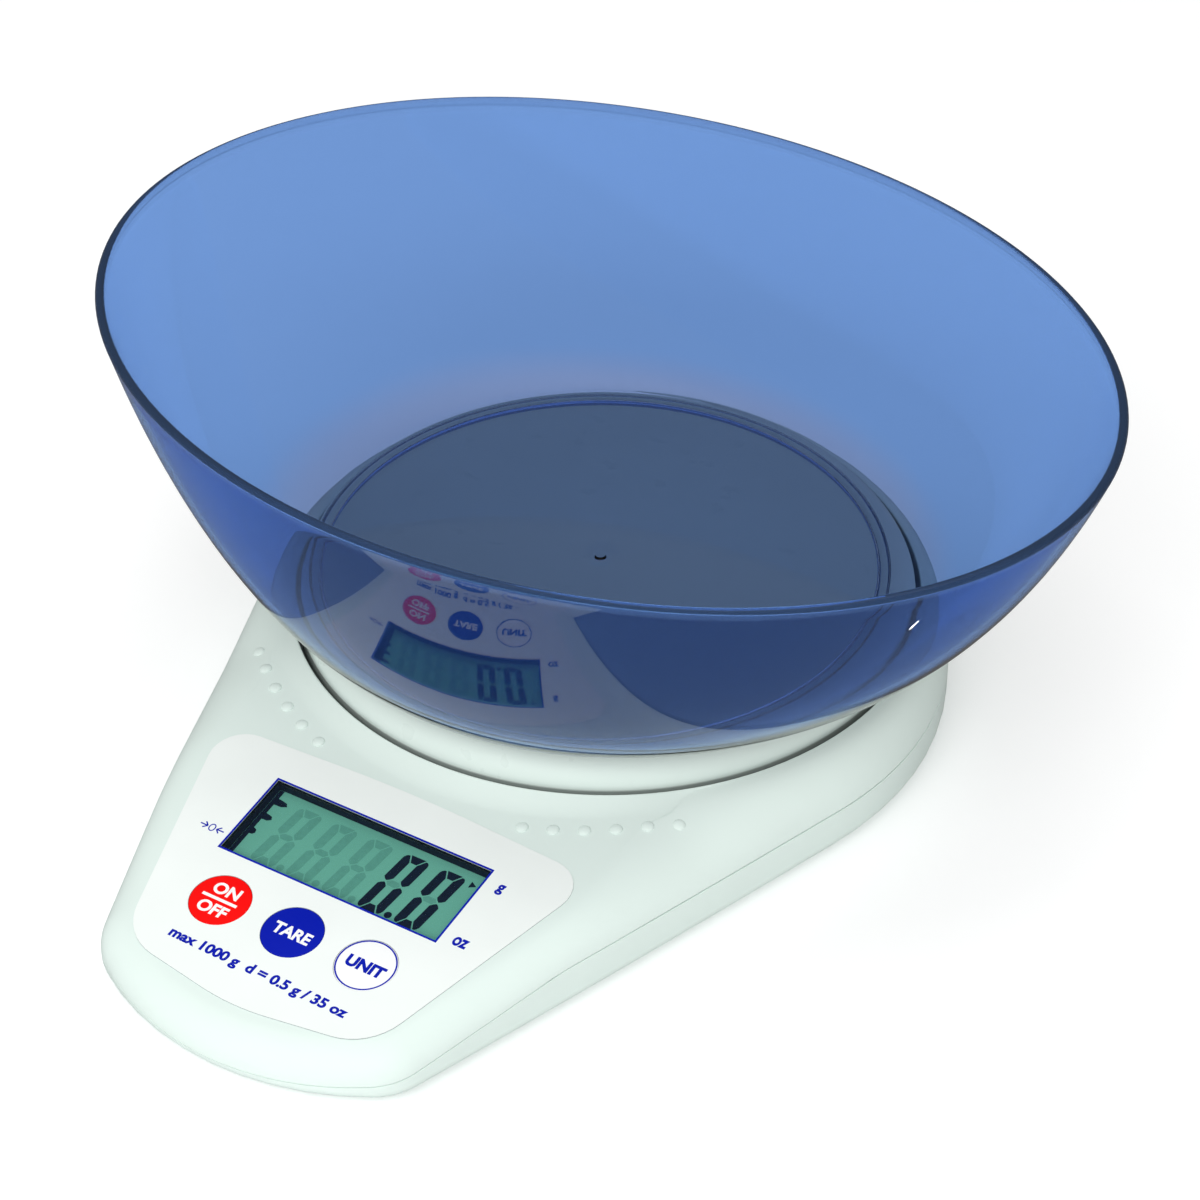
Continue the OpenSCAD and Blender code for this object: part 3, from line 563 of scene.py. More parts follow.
@dataclass(frozen=True)
class Metal(Finish):
    """Bare or plated metal.

    Attributes:
        colour: Its colour.
        roughness: Its mean roughness.
        brushing: Factor on each axis, small along the brushing.
    """

    colour: Colour
    roughness: float = 0.3
    brushing: tuple[float, float, float] = (1.0, 1.0, 1.0)

    def build(self, g: Graph) -> bpy.types.Material:
        """Builds brushed metal with handling marks.

        Args:
            g: The material's graph.

        Returns:
            The finished material.
        """
        handling = g.noise(cells=220, detail=4, stretch=self.brushing)
        gloss = g.noise(cells=500, detail=4, stretch=self.brushing)
        strokes = g.noise(cells=1500, detail=3, stretch=self.brushing)
        return g.close(g.principled({
            "Base Color": g.mottled(self.colour, handling, 0.88, 1.06), "Metallic": 1.0,
            "Roughness": g.spread(gloss, self.roughness - 0.08, self.roughness + 0.1),
            "Normal": g.bump(strokes, depth=6e-6, strength=0.5),
        }))


@dataclass(frozen=True)
class Rubber(Finish):
    """Moulded rubber with a dull, dusted skin."""

    colour: Colour
    roughness: float = 0.72

    def build(self, g: Graph) -> bpy.types.Material:
        """Builds dull rubber with pale dusted pores.

        Args:
            g: The material's graph.

        Returns:
            The finished material.
        """
        tone = g.ramp(g.noise(cells=420, detail=5), [
            (0.35, self.colour), (0.62, shade(self.colour, 1.5)), (0.8, shade(self.colour, 2.1)),
        ])
        gloss = g.spread(
            g.noise(cells=300, detail=3), self.roughness - 0.06, self.roughness + 0.1
        )
        return g.close(g.principled({
            "Base Color": tone, "Roughness": gloss,
            "Normal": g.bump(g.noise(cells=2200, detail=4), depth=2e-5, strength=0.5),
        }))


@dataclass(frozen=True)
class DisplayFilm(Finish):
    """Reflective film of a liquid crystal display."""

    colour: Colour

    def build(self, g: Graph) -> bpy.types.Material:
        """Builds a dull film with a faint speckle.

        Args:
            g: The material's graph.

        Returns:
            The finished material.
        """
        return g.close(g.principled({
            "Base Color": g.mottled(self.colour, g.noise(cells=5200, detail=2), 0.95, 1.04),
            "Roughness": g.spread(g.noise(cells=900, detail=2), 0.4, 0.52),
            "Normal": g.bump(g.noise(cells=3800, detail=1), depth=2e-6, strength=0.4),
            "Specular IOR Level": 0.1,
        }))


@dataclass(frozen=True)
class CircuitLaminate(Finish):
    """Circuit board with traces under green solder resist."""

    resist: Colour
    copper: Colour

    def build(self, g: Graph) -> bpy.types.Material:
        """Builds traces from a brick pattern and resist over both.

        Args:
            g: The material's graph.

        Returns:
            The finished material.
        """
        traces = g.made("ShaderNodeTexBrick", "Color", {
            "Vector": g.place, "Scale": 260.0, "Mortar Size": 0.16, "Mortar Smooth": 0.1,
            "Color1": (0, 0, 0, 1), "Color2": (0, 0, 0, 1), "Mortar": (1, 1, 1, 1),
        }, offset=0.5, squash=0.6)
        return g.close(g.principled({
            "Base Color": g.ramp(traces, [(0.0, self.resist), (1.0, self.copper)]),
            "Roughness": g.spread(g.noise(cells=800, detail=3), 0.25, 0.4),
            "Normal": g.bump(traces, depth=3e-5, strength=0.5), "Coat Weight": 0.4,
            "Coat Roughness": 0.12,
        }))


@dataclass(frozen=True)
class CellJacket(Finish):
    """Shrink sleeve of a dry cell, banded along X, with bare metal ends.

    Attributes:
        low: The cell's lower end on X.
        high: Its upper end on X.
        flipped: Whether its cap is at the lower end.
        base_end: Share of its length at which the bare base ends.
        band: Share at which the pale band starts and ends.
        cap_start: Share at which the bare cap end starts.
    """

    low: float
    high: float
    flipped: bool
    base_end: float = 0.02
    band: Pair = (0.66, 0.72)
    cap_start: float = 0.965

    def build(self, g: Graph) -> bpy.types.Material:
        """Builds metal ends, a dark sleeve and one pale band.

        Args:
            g: The material's graph.

        Returns:
            The finished material.
        """
        ends = (self.high, self.low) if self.flipped else (self.low, self.high)
        share = g.fade(g.axis(g.place, "X"), *ends)
        bare, green, cream, charcoal = (
            (0.55, 0.55, 0.56), srgb(28, 74, 52), srgb(214, 190, 120), srgb(24, 30, 34),
        )
        tone = g.ramp(share, [
            (0.0, bare), (self.base_end, green), (self.band[0], cream), (self.band[1], charcoal),
            (self.cap_start, bare),
        ], stepped=True)
        metal = g.ramp(share, [
            (0.0, (1, 1, 1)), (self.base_end, (0, 0, 0)), (self.cap_start, (1, 1, 1)),
        ], stepped=True)
        wraps = g.noise(cells=300, detail=2, stretch=(0.2, 1, 1))
        return g.close(g.principled({
            "Base Color": tone, "Metallic": metal,
            "Roughness": g.spread(g.noise(cells=600, detail=3), 0.22, 0.34),
            "Normal": g.bump(wraps, depth=1.5e-5, strength=0.4),
        }))


ABS_WHITE = srgb(229, 243, 237)
DEEP_BLUE = srgb(4, 26, 172)
PRINT_WHITE = srgb(250, 252, 252)


class Finishes:
    """All finishes of the scale."""

    # The housing and the platform both get painted shade in the gap around the platform.
    housing = MouldedPlastic("abs_white", "housing_plastic", ABS_WHITE, gap_shade=0.38)
    platform = MouldedPlastic(
        "abs_white_platform", "platform_plastic", ABS_WHITE, roughness=0.3, gap_shade=0.38,
    )
    bowl = ClearPlastic(
        "smoke_blue_plastic", "bowl_plastic", ior=1.49, tint=(0.168, 0.32, 0.675), density=8.0,
        absorbed=(0.0, 0.2, 0.35), passed=0.66, base_tint=(0.215, 0.315, 0.6), base_top=0.0394,
        rim_low=0.1012, rim_clear=0.88,
    )
    pane = ClearPlastic("window_plastic", "clear_pane", ior=1.45, roughness=0.01, flow=4e-6)
    label = SatinFilm("label_film", "label_film", srgb(243, 249, 246), edge=srgb(182, 190, 190))
    blue_ink = PrintInk("ink_blue", "label_film", DEEP_BLUE)
    white_ink = PrintInk("ink_white", "button_white", PRINT_WHITE)
    ring_ink = PrintInk("ink_blue_button", "button_blue", DEEP_BLUE)
    red_button = SatinFilm("button_red", "button_red", srgb(252, 8, 6))
    blue_button = SatinFilm("button_blue", "button_blue", DEEP_BLUE)
    white_button = SatinFilm("button_white", "button_white", PRINT_WHITE)
    black = MouldedPlastic(
        "black_plastic", "black_plastic", srgb(8, 9, 10), roughness=0.6, shine=0.15,
    )
    film = DisplayFilm("display_film", "display_film", srgb(101, 171, 150))
    segment = PrintInk(
        "display_segment", "display_film", srgb(10, 18, 28), roughness=0.5, shine=0.1,
    )
    ghost = PrintInk(
        "display_ghost", "display_film", srgb(86, 151, 133), roughness=0.46, shine=0.1,
    )
    glass = MouldedPlastic("display_glass", "display_glass", srgb(150, 170, 160), roughness=0.12)
    strip = Rubber("strip_rubber", "strip_rubber", srgb(52, 52, 56), roughness=0.6)
    foot = Rubber("foot_rubber", "foot_rubber", srgb(54, 55, 58))
    steel = Metal("sheet_steel", "sheet_steel", (0.52, 0.53, 0.54), 0.34, (1, 0.15, 1))
    screw = Metal("screw_steel", "screw_steel", (0.62, 0.61, 0.58), 0.26)
    spring = Metal("spring_steel", "spring_steel", (0.66, 0.66, 0.66), 0.22)
    beam = Metal("beam_aluminium", "beam_aluminium", (0.72, 0.73, 0.74), 0.32, (0.08, 1, 1))
    gauge = Rubber("gauge_coating", "gauge_coating", srgb(206, 196, 150), roughness=0.45)
    laminate = CircuitLaminate(
        "board_laminate", "board_laminate", srgb(16, 84, 50), srgb(40, 120, 72),
    )
    plunger = MouldedPlastic("plunger_ivory", "plunger_plastic", srgb(226, 224, 212), 0.4)
    cable = MouldedPlastic("cable_grey", "cable_jacket", srgb(198, 200, 200), 0.45)
    red_wire = MouldedPlastic("wire_red", "wire_red", srgb(196, 20, 22), 0.4)
    black_wire = MouldedPlastic("wire_black", "black_plastic", srgb(16, 16, 18), 0.4)


# ---- Shapes --------------------------------------------------------------------------


def tidy(shape: Shape) -> Shape:
    """Welds seams and poles and turns all faces outwards.

    Args:
        shape: The shape, which is changed in place.

    Returns:
        The same shape.
    """
    bmesh.ops.remove_doubles(shape, verts=shape.verts, dist=WELD)
    bmesh.ops.recalc_face_normals(shape, faces=shape.faces)
    return shape


def join(shapes: Iterable[Shape]) -> Shape:
    """Puts several shapes into one and frees them.

    Args:
        shapes: The shapes to join.

    Returns:
        The shape that holds them all.
    """
    whole = bmesh.new()
    for shape in shapes:
        carrier = bpy.data.meshes.new("carrier")
        shape.to_mesh(carrier)
        shape.free()
        whole.from_mesh(carrier)
        bpy.data.meshes.remove(carrier)
    return whole


def moved(shape: Shape, matrix: Matrix) -> Shape:
    """Moves a shape by a matrix and returns it."""
    bmesh.ops.transform(shape, matrix=matrix, verts=shape.verts)
    return shape


def spin_line(shape: Shape, verts: Sequence[bmesh.types.BMVert], steps: int) -> None:
    """Joins points to a line and turns it about the Z axis.

    Args:
        shape: The shape that holds the points.
        verts: The points, in order.
        steps: Number of steps in the full turn.
    """
    edges = [shape.edges.new(pair) for pair in zip(verts, verts[1:])]
    bmesh.ops.spin(
        shape, geom=[*verts, *edges], cent=(0, 0, 0), axis=(0, 0, 1), dvec=(0, 0, 0),
        angle=math.tau, steps=steps, use_merge=True, use_duplicate=False,
    )


def lathe(profile: Sequence[Pair], steps: int) -> Shape:
    """Turns a profile about the Z axis.

    Args:
        profile: Points as (radius, height).
        steps: Number of steps in the full turn.

    Returns:
        The turned shape.
    """
    shape = bmesh.new()
    verts = [bmesh.ops.create_vert(shape, co=(r, 0, z))["vert"][0] for r, z in profile]
    spin_line(shape, verts, steps)
    return tidy(shape)


def shares(steps: int) -> list[float]:
    """Returns the shares from 0 to 1 in even steps."""
    return [i / steps for i in range(steps + 1)]


@dataclass(frozen=True)
class ScrewPost:
    """Post with a blind bore in its underside.

    Attributes:
        radius: Its radius.
        bore: Radius of the bore.
        depth: Depth of the bore.
    """

    radius: float
    bore: float
    depth: float

    def shape(self, low: float, high: float) -> Shape:
        """Turns the post.

        Args:
            low: Height of its underside.
            high: Height of its top.

        Returns:
            The post on the Z axis.
        """
        return lathe([
            (0, high), (self.radius, high), (self.radius, low), (self.bore, low),
            (self.bore, low + self.depth), (0, low + self.depth),
        ], 32)


def loft(rings: Sequence[Sequence[Vector]]) -> Shape:
    """Skins ring after ring; where the last ring lies on the first, they are welded.

    Args:
        rings: Closed rings with the same number of points.

    Returns:
        The skinned shape.
    """
    shape = bmesh.new()
    place = shape.verts.layers.int.new("place")
    first = bmesh.ops.create_circle(shape, segments=len(rings[0]), radius=1.0)["verts"]
    for index, vert in enumerate(first):
        vert[place] = index
        vert.co = rings[0][index]
    edges = list(shape.edges)
    for ring in rings[1:]:
        grown = bmesh.ops.extrude_edge_only(shape, edges=edges)["geom"]
        for vert in (item for item in grown if isinstance(item, bmesh.types.BMVert)):
            vert.co = ring[vert[place]]
        edges = [
            item for item in grown if isinstance(item, bmesh.types.BMEdge) and item.is_boundary
        ]
    return tidy(shape)


def prism(outline: Sequence[Pair], low: float, high: float) -> Shape:
    """Makes a plate with any outline between two heights.

    Args:
        outline: Corners as (x, y).
        low: Lower height.
        high: Upper height.

    Returns:
        The plate.
    """
    shape = bmesh.new()
    corners = bmesh.ops.create_circle(
        shape, segments=len(outline), radius=1.0, cap_ends=True
    )["verts"]
    for vert, (x, y) in zip(corners, outline):
        vert.co = (x, y, low)
    grown = bmesh.ops.extrude_face_region(shape, geom=list(shape.faces))["geom"]
    lifted = [item for item in grown if isinstance(item, bmesh.types.BMVert)]
    bmesh.ops.translate(shape, vec=(0, 0, high - low), verts=lifted)
    return tidy(shape)


def block(width: float, depth: float, low: float, high: float) -> Shape:
    """Makes a rectangular plate centred on the Z axis.

    Args:
        width: Its size on X.
        depth: Its size on Y.
        low: Lower height.
        high: Upper height.

    Returns:
        The plate.
    """
    shape = bmesh.new()
    bmesh.ops.create_cube(shape, size=1.0)
    bmesh.ops.scale(shape, vec=(width, depth, high - low), verts=shape.verts)
    bmesh.ops.translate(shape, vec=(0, 0, (low + high) / 2), verts=shape.verts)
    return shape


def band(inner: Sequence[Pair], outer: Sequence[Pair],
         low: float, high: float) -> Shape:
    """Makes a flat closed band between two outlines.

    Args:
        inner: Corners of its inner edge as (x, y).
        outer: Corners of its outer edge, as many as the inner edge has.
        low: Lower height.
        high: Upper height.

    Returns:
        The band.
    """
    rings = [
        [Vector((x, y, z)) for x, y in outline]
        for outline, z in ((inner, low), (outer, low), (outer, high), (inner, high), (inner, low))
    ]
    return loft(rings)


def round_outline(radius: float, steps: int, x: float = 0.0, y: float = 0.0) -> list[Pair]:
    """Makes a circle's corners.

    Args:
        radius: Its radius.
        steps: Number of corners.
        x: Its centre on X.
        y: Its centre on Y.

    Returns:
        The corners as (x, y).
    """
    return [
        (x + radius * math.cos(math.tau * i / steps), y + radius * math.sin(math.tau * i / steps))
        for i in range(steps)
    ]


def box_outline(width: float, height: float) -> list[Pair]:
    """Returns a rectangle's corners as (x, y)."""
    w, h = width / 2, height / 2
    return [(w, h), (-w, h), (-w, -h), (w, -h)]


@dataclass(frozen=True)
class Lettering:
    """Generic lettering that is fitted to a box.

    Attributes:
        words: The characters.
        width: Width of the finished line.
        height: Height of the finished line.
        centre: Middle of the line.
        weight: How far the strokes are fattened, as a share of the size.
        turn: Rotation in degrees.
        low: Height of the ink's underside.
        steps: Steps along each curve of a letter.
    """

    words: str
    width: float
    height: float
    centre: Pair
    weight: float = 0.035
    turn: float = 0.0
    low: float = 0.0
    steps: int = 5

    def shape(self) -> Shape:
        """Makes the letters as a thin closed solid.

        Returns:
            The letters at their place, with their undersides at low.
        """
        curve = bpy.data.curves.new("lettering", "FONT")
        curve.body = self.words
        curve.offset = self.weight
        curve.extrude = 0.1
        curve.resolution_u = self.steps
        carrier = bpy.data.objects.new("lettering", curve)
        bpy.context.scene.collection.objects.link(carrier)
        bpy.context.view_layer.update()
        depsgraph = bpy.context.evaluated_depsgraph_get()
        mesh = bpy.data.meshes.new_from_object(carrier.evaluated_get(depsgraph))
        shape = bmesh.new()
        shape.from_mesh(mesh)
        bpy.data.objects.remove(carrier)
        bpy.data.curves.remove(curve)
        bpy.data.meshes.remove(mesh)
        bmesh.ops.remove_doubles(shape, verts=shape.verts, dist=LETTER_WELD)
        low = Vector(min(v.co[i] for v in shape.verts) for i in range(3))
        high = Vector(max(v.co[i] for v in shape.verts) for i in range(3))
        size = high - low
        fit = Matrix.Diagonal((self.width / size.x, self.height / size.y, INK_T / size.z, 1))
        place = Matrix.Translation((*self.centre, self.low + INK_T / 2))
        turn = Matrix.Rotation(math.radians(self.turn), 4, "Z")
        return moved(shape, place @ turn @ fit @ Matrix.Translation(-(low + high) / 2))


def node_copy(node: str) -> Shape:
    """Copies a CAD node's mesh and merges its triangles.

    Args:
        node: The CAD node.

    Returns:
        The copy, in millimetres.
    """
    shape = bmesh.new()
    shape.from_mesh(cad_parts[node].data)
    bmesh.ops.scale(shape, vec=(1 / MM,) * 3, verts=shape.verts)
    bmesh.ops.remove_doubles(shape, verts=shape.verts, dist=COPY_WELD)
    return shape


def carve(shape: Shape, cutters: Iterable[Shape]) -> Shape:
    """Cuts shapes out of a shape.

    Args:
        shape: The shape to cut.
        cutters: Closed shapes that are taken away.

    Returns:
        What is left.
    """
    scene = bpy.context.scene
    made = []
    for index, part in enumerate([shape, *cutters]):
        mesh = bpy.data.meshes.new(f"carve_{index}")
        part.to_mesh(mesh)
        part.free()
        made.append(bpy.data.objects.new(mesh.name, mesh))
        scene.collection.objects.link(made[-1])
    for cutter in made[1:]:
        cut = made[0].modifiers.new(cutter.name, "BOOLEAN")
        cut.operation = "DIFFERENCE"
        cut.solver = "EXACT"
        cut.object = cutter
    bpy.context.view_layer.update()
    depsgraph = bpy.context.evaluated_depsgraph_get()
    mesh = bpy.data.meshes.new_from_object(made[0].evaluated_get(depsgraph))
    left = bmesh.new()
    left.from_mesh(mesh)
    for item in made:
        old = item.data
        bpy.data.objects.remove(item)
        bpy.data.meshes.remove(old)
    bpy.data.meshes.remove(mesh)
    return left


def piece(name: str, shape: Shape, finish: Finish, body: Body, replaces: Sequence[str] = (),
          crease: float = 32.0, bend: tuple[Body, Vector, Vector] | None = None) -> None:
    """Makes a finished piece of a shape.

    Args:
        name: Name of the piece.
        shape: The shape in millimetres; it is freed.
        finish: Its finish.
        body: The body that it rides on, unless bend is given.
        replaces: CAD nodes that it stands for.
        crease: Angle in degrees above which an edge stays sharp.
        bend: The body that its far end would follow, and where its bend would start and end; when
            it is given, the piece is only left in place, on no body.
    """
    for face in shape.faces:
        face.smooth = True
    limit = math.radians(crease)
    for edge in shape.edges:
        edge.smooth = len(edge.link_faces) == 2 and edge.calc_face_angle(math.pi) < limit
    bmesh.ops.scale(shape, vec=(MM,) * 3, verts=shape.verts)
    mesh = bpy.data.meshes.new(name)
    shape.to_mesh(mesh)
    shape.free()
    mesh.materials.append(finish.material())
    made = bpy.data.objects.new(name, mesh)
    bpy.context.scene.collection.objects.link(made)
    if bend:
        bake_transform(made)
    else:
        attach(made, body.value)
    if replaces:
        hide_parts(*replaces)
    LOG.info("%s: %d faces on %s", name, len(mesh.polygons), body.value)


def dress(finish: Finish, *nodes: str) -> None:
    """Gives CAD nodes that stay in view their finish.

    Args:
        finish: The finish.
        *nodes: The CAD nodes.
    """
    for node in nodes:
        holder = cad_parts[node]
        if not holder.material_slots:
            holder.data.materials.append(None)
        for slot in holder.material_slots:
            slot.material = finish.material()
        LOG.info("%s keeps its mesh, in %s", node, finish.name)


# ---- Form of the housing -------------------------------------------------------------


def node_box(node: str) -> tuple[Vector, Vector]:
    """Returns a CAD node's lowest and highest corner in millimetres."""
    low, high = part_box(node)
    return low / MM, high / MM


def turned(angle: float) -> Vector:
    """Returns the plan direction at an angle in degrees, anticlockwise from the right."""
    return Vector((math.cos(math.radians(angle)), math.sin(math.radians(angle))))


def mirrored(point: Vector) -> Vector:
    """Returns a plan point mirrored across the scale's middle."""
    return Vector((-point.x, point.y))


# A point of the outline and its outward direction.
Place = tuple[Vector, Vector]


@dataclass
class HousingForm:
    """Plan and heights that the covers share, drawn around the platform's axis.

    The plan is a large arc around the rear, two sides that draw together towards the
    front, two corners and a flat arc across the nose. The deck rises from the nose and
    runs into the collar around the platform.

    Attributes:
        collar_r: Radius of the collar's outer edge.
        collar_h: Height of the collar.
        well_r: Radius of the well that the platform sits in.
        body_r: Radius of the rear arc.
        forward: How far the rear arc's centre lies in front of the platform's axis.
        taper: Angle of each side to the middle, in degrees.
        crown: How far the sides bulge.
        nose_r: Radius of the nose's arc.
        corner_r: Radius of the front corners.
        nose_reach: Distance of the nose in front of the platform's axis.
        tilt: Angle of the deck, in degrees.
        nose_h: Height of the deck's plane at the nose.
        window_y: The display window's middle, behind the platform's axis.
        crest_w: Width of the rolled edge at the front.
        crest_growth: How much wider it gets towards the rear, as a share of the way.
        crest_from: Where it starts to get wider.
        flank_w: Width of the hollow slope up to the collar.
        seam_h: Height of the parting line at the sides and rear.
        seam_drop: Its depth below the deck's plane at the front.
        seam_gap: Gap between the covers.
        land: Narrowest strip of deck beside the collar.
        blend: Height over which the deck and the collar's level run together.
        axis: The platform's axis in the frame.
        slope: Rise of the deck for each millimetre.
        places: The outline, around the platform's axis.
    """

    collar_r: float = 76.6
    collar_h: float = 27.4
    well_r: float = 76.1
    body_r: float = 84.0
    forward: float = 2.5
    taper: float = 18.0
    crown: float = 0.4
    nose_r: float = 68.0
    corner_r: float = 15.0
    nose_reach: float = 162.5
    tilt: float = 8.0
    nose_h: float = 12.397
    window_y: float = -106.25
    crest_w: float = 8.0
    crest_growth: float = 0.3
    crest_from: float = -97.0
    flank_w: float = 5.8
    seam_h: float = 13.2
    seam_drop: float = 7.0
    seam_gap: float = 0.15
    land: float = 0.5
    blend: float = 2.4
    axis: Vector = field(init=False)
    slope: float = field(init=False)
    places: list[Place] = field(init=False)

    def __post_init__(self) -> None:
        """Works out the frame's offset and the outline."""
        low, high = node_box("platform")
        self.axis = Vector((0, (low.y + high.y) / 2, 0))
        self.slope = math.tan(math.radians(self.tilt))
        self.places = self.outline()

    def outline(
        self, rear: int = 104, side: int = 26, corner: int = 12, nose: int = 34
    ) -> list[Place]:
        """Works out the outline as points with their outward directions.

        Args:
            rear: Steps around the rear.
            side: Steps along each side.
            corner: Steps around each front corner.
            nose: Steps across the front.

        Returns:
            The places, anticlockwise from the right.
        """
        tau = math.radians(self.taper)
        nose_c = Vector((0, self.nose_r - self.nose_reach))
        normal = Vector((math.cos(tau), -math.sin(tau)))
        along = Vector((-math.sin(tau), -math.cos(tau)))
        start = normal * (self.body_r - self.corner_r + math.sin(tau) * self.forward) - nose_c
        done = start.dot(along)
        off = math.sqrt(done**2 - start.dot(start) + (self.nose_r - self.corner_r) ** 2)
        centre = start + along * (off - done) + nose_c
        nose_a = math.degrees(math.atan2(centre.x, nose_c.y - centre.y))

        def arc(middle: Vector, radius: float, first: float, last: float, steps: int,
                skip: int = 1) -> list[Place]:
            """Returns the places of an arc, without the first few."""
            turns = [turned(first + (last - first) * i / steps) for i in range(skip, steps + 1)]
            return [(middle + radius * turn, turn) for turn in turns]

        def flat(first: Place, last: Place) -> list[Place]:
            """Returns the places between a side's two ends, on a line that is slightly crowned.

            Args:
                first: The side's first end.
                last: Its last end.

            Returns:
                The places between them.
            """
            return [
                (first[0].lerp(last[0], t) + 4 * self.crown * t * (1 - t) * first[1], first[1])
                for t in shares(side)[1:-1]
            ]

        back = arc(Vector((0, -self.forward)), self.body_r, -self.taper, 180 + self.taper, rear, 0)
        left = arc(mirrored(centre), self.corner_r, 180 + self.taper, 270 - nose_a, corner, 0)
        front = arc(nose_c, self.nose_r, 270 - nose_a, 270 + nose_a, nose)
        right = arc(centre, self.corner_r, 270 + nose_a, 360 - self.taper, corner)
        return back + flat(back[-1], left[0]) + left + front + right + flat(right[-1], back[0])

    def deck_z(self, y: float) -> float:
        """Returns the height of the deck's plane."""
        return self.nose_h + self.slope * (y + self.nose_reach)

    def seam_z(self, y: float) -> float:
        """Returns the height of the parting line."""
        return min(self.seam_h, self.deck_z(y) - self.seam_drop)

    def top_z(self, y: float) -> float:
        """Finds the height of the upper surface, where the deck runs softly into the collar.

        Args:
            y: Distance behind the platform's axis.

        Returns:
            The height.
        """
        deck, collar = self.deck_z(y), self.collar_h
        share = min(1.0, max(0.0, 0.5 + 0.5 * (collar - deck) / self.blend))
        return collar + (deck - collar) * share - self.blend * share * (1 - share)

    def reach(self, place: Place, inset: float, radius: float) -> float:
        """Returns the distance from a place to a circle around the platform's axis."""
        return (place[0] - inset * place[1]).length - radius

    def edge_width(self, place: Place, inset: float, radius: float) -> float:
        """Returns the width of the rolled edge at a place."""
        crest = self.crest_w + self.crest_growth * max(0.0, place[0].y - self.crest_from)
        return min(crest - inset, self.reach(place, inset, radius) - 2 * self.land)

    def slope_width(self, place: Place, inset: float, radius: float) -> float:
        """Returns the width of the hollow slope at a place."""
        room = self.reach(place, inset, radius) - self.edge_width(place, inset, radius)
        return min(self.flank_w, room - self.land)

    def ring(self, rule: Callable[[Place], tuple[Vector, float]]) -> list[Vector]:
        """Makes a ring of points, in step with the outline.

        Args:
            rule: Gives each place its plan point and height.

        Returns:
            The points in the frame's axes.
        """
        points = []
        for place in self.places:
            flat, height = rule(place)
            points.append(Vector((flat.x, flat.y, height)) + self.axis)
        return points

    def seam_ring(self, inset: float, lift: float) -> list[Vector]:
        """Makes a ring along the parting line.

        Args:
            inset: How far it is set in.
            lift: How far it is lifted.

        Returns:
            The ring.
        """
        return self.ring(lambda p: (
            p[0] - inset * p[1], self.seam_z((p[0] - inset * p[1]).y) + lift
        ))

    def crest(
        self, place: Place, inset: float, radius: float, share: float
    ) -> tuple[Vector, float]:
        """Returns a point of the rolled edge.

        Args:
            place: Place on the outline.
            inset: Depth below the outer surface.
            radius: Radius of the collar on this surface.
            share: Way over the edge, from 0 at the parting line to 1 on the deck.

        Returns:
            The plan point and its height.
        """
        angle = math.pi / 2 * share
        width = self.edge_width(place, inset, radius)
        flat = place[0] - (inset + width * (1 - math.cos(angle))) * place[1]
        low = self.seam_z(place[0].y - inset * place[1].y) + self.seam_gap
        return flat, low + (self.top_z(flat.y) - inset - low) * math.sin(angle)

    def flank(
        self, place: Place, inset: float, radius: float, share: float
    ) -> tuple[Vector, float]:
        """Returns a point of the hollow slope up to the collar.

        Args:
            place: Place on the outline.
            inset: Depth below the outer surface.
            radius: Radius of the collar on this surface.
            share: Way up the slope, from 0 on the deck to 1 at the collar.

        Returns:
            The plan point and its height.
        """
        width = self.slope_width(place, inset, radius)
        flat = place[0].normalized() * (radius + width * (1 - share))
        low = self.top_z(flat.y)
        return flat, low - inset + (self.collar_h - low) * share**2

    def deck(self, place: Place, share: float) -> tuple[Vector, float]:
        """Returns a point of the deck.

        Args:
            place: Place on the outline.
            share: Way over the deck, from 0 at the rolled edge to 1 at the hollow slope.

        Returns:
            The plan point and its height.
        """
        near = self.crest(place, 0, self.collar_r, 1)[0]
        far = self.flank(place, 0, self.collar_r, 0)[0]
        flat = near.lerp(far, share)
        return flat, self.top_z(flat.y)

    def round_ring(self, radius: float, height: float) -> list[Vector]:
        """Returns a circle around the platform's axis, in step with the outline."""
        return self.ring(lambda p: (p[0].normalized() * radius, height))

    def height_at(self, flat: Vector) -> float:
        """Finds the height of the upper surface beside the collar.

        Args:
            flat: Plan point near one of the sides, around the platform's axis.

        Returns:
            The height.
        """
        tau = math.radians(self.taper)
        across = abs(flat.x) * math.cos(tau) - flat.y * math.sin(tau)
        inside = self.body_r + math.sin(tau) * self.forward - across
        edge = Vector((
            abs(flat.x) + inside * math.cos(tau), flat.y - inside * math.sin(tau)
        ))
        width = self.edge_width((edge, Vector((math.cos(tau), -math.sin(tau)))), 0, self.collar_r)
        if inside >= width:
            return self.top_z(flat.y)
        low = self.seam_z(edge.y) + self.seam_gap
        return low + (self.top_z(flat.y) - low) * math.sin(math.acos(1 - max(0.0, inside) / width))

    def deck_frame(self) -> Matrix:
        """Finds the deck's own axes, centred on the window.

        Returns:
            The matrix from them to the frame's axes.
        """
        middle = Vector((0, self.window_y, self.deck_z(self.window_y)))
        return Matrix.Translation(self.axis + middle) @ Matrix.Rotation(
            math.radians(self.tilt), 4, "X"
        )


# ---- Covers --------------------------------------------------------------------------


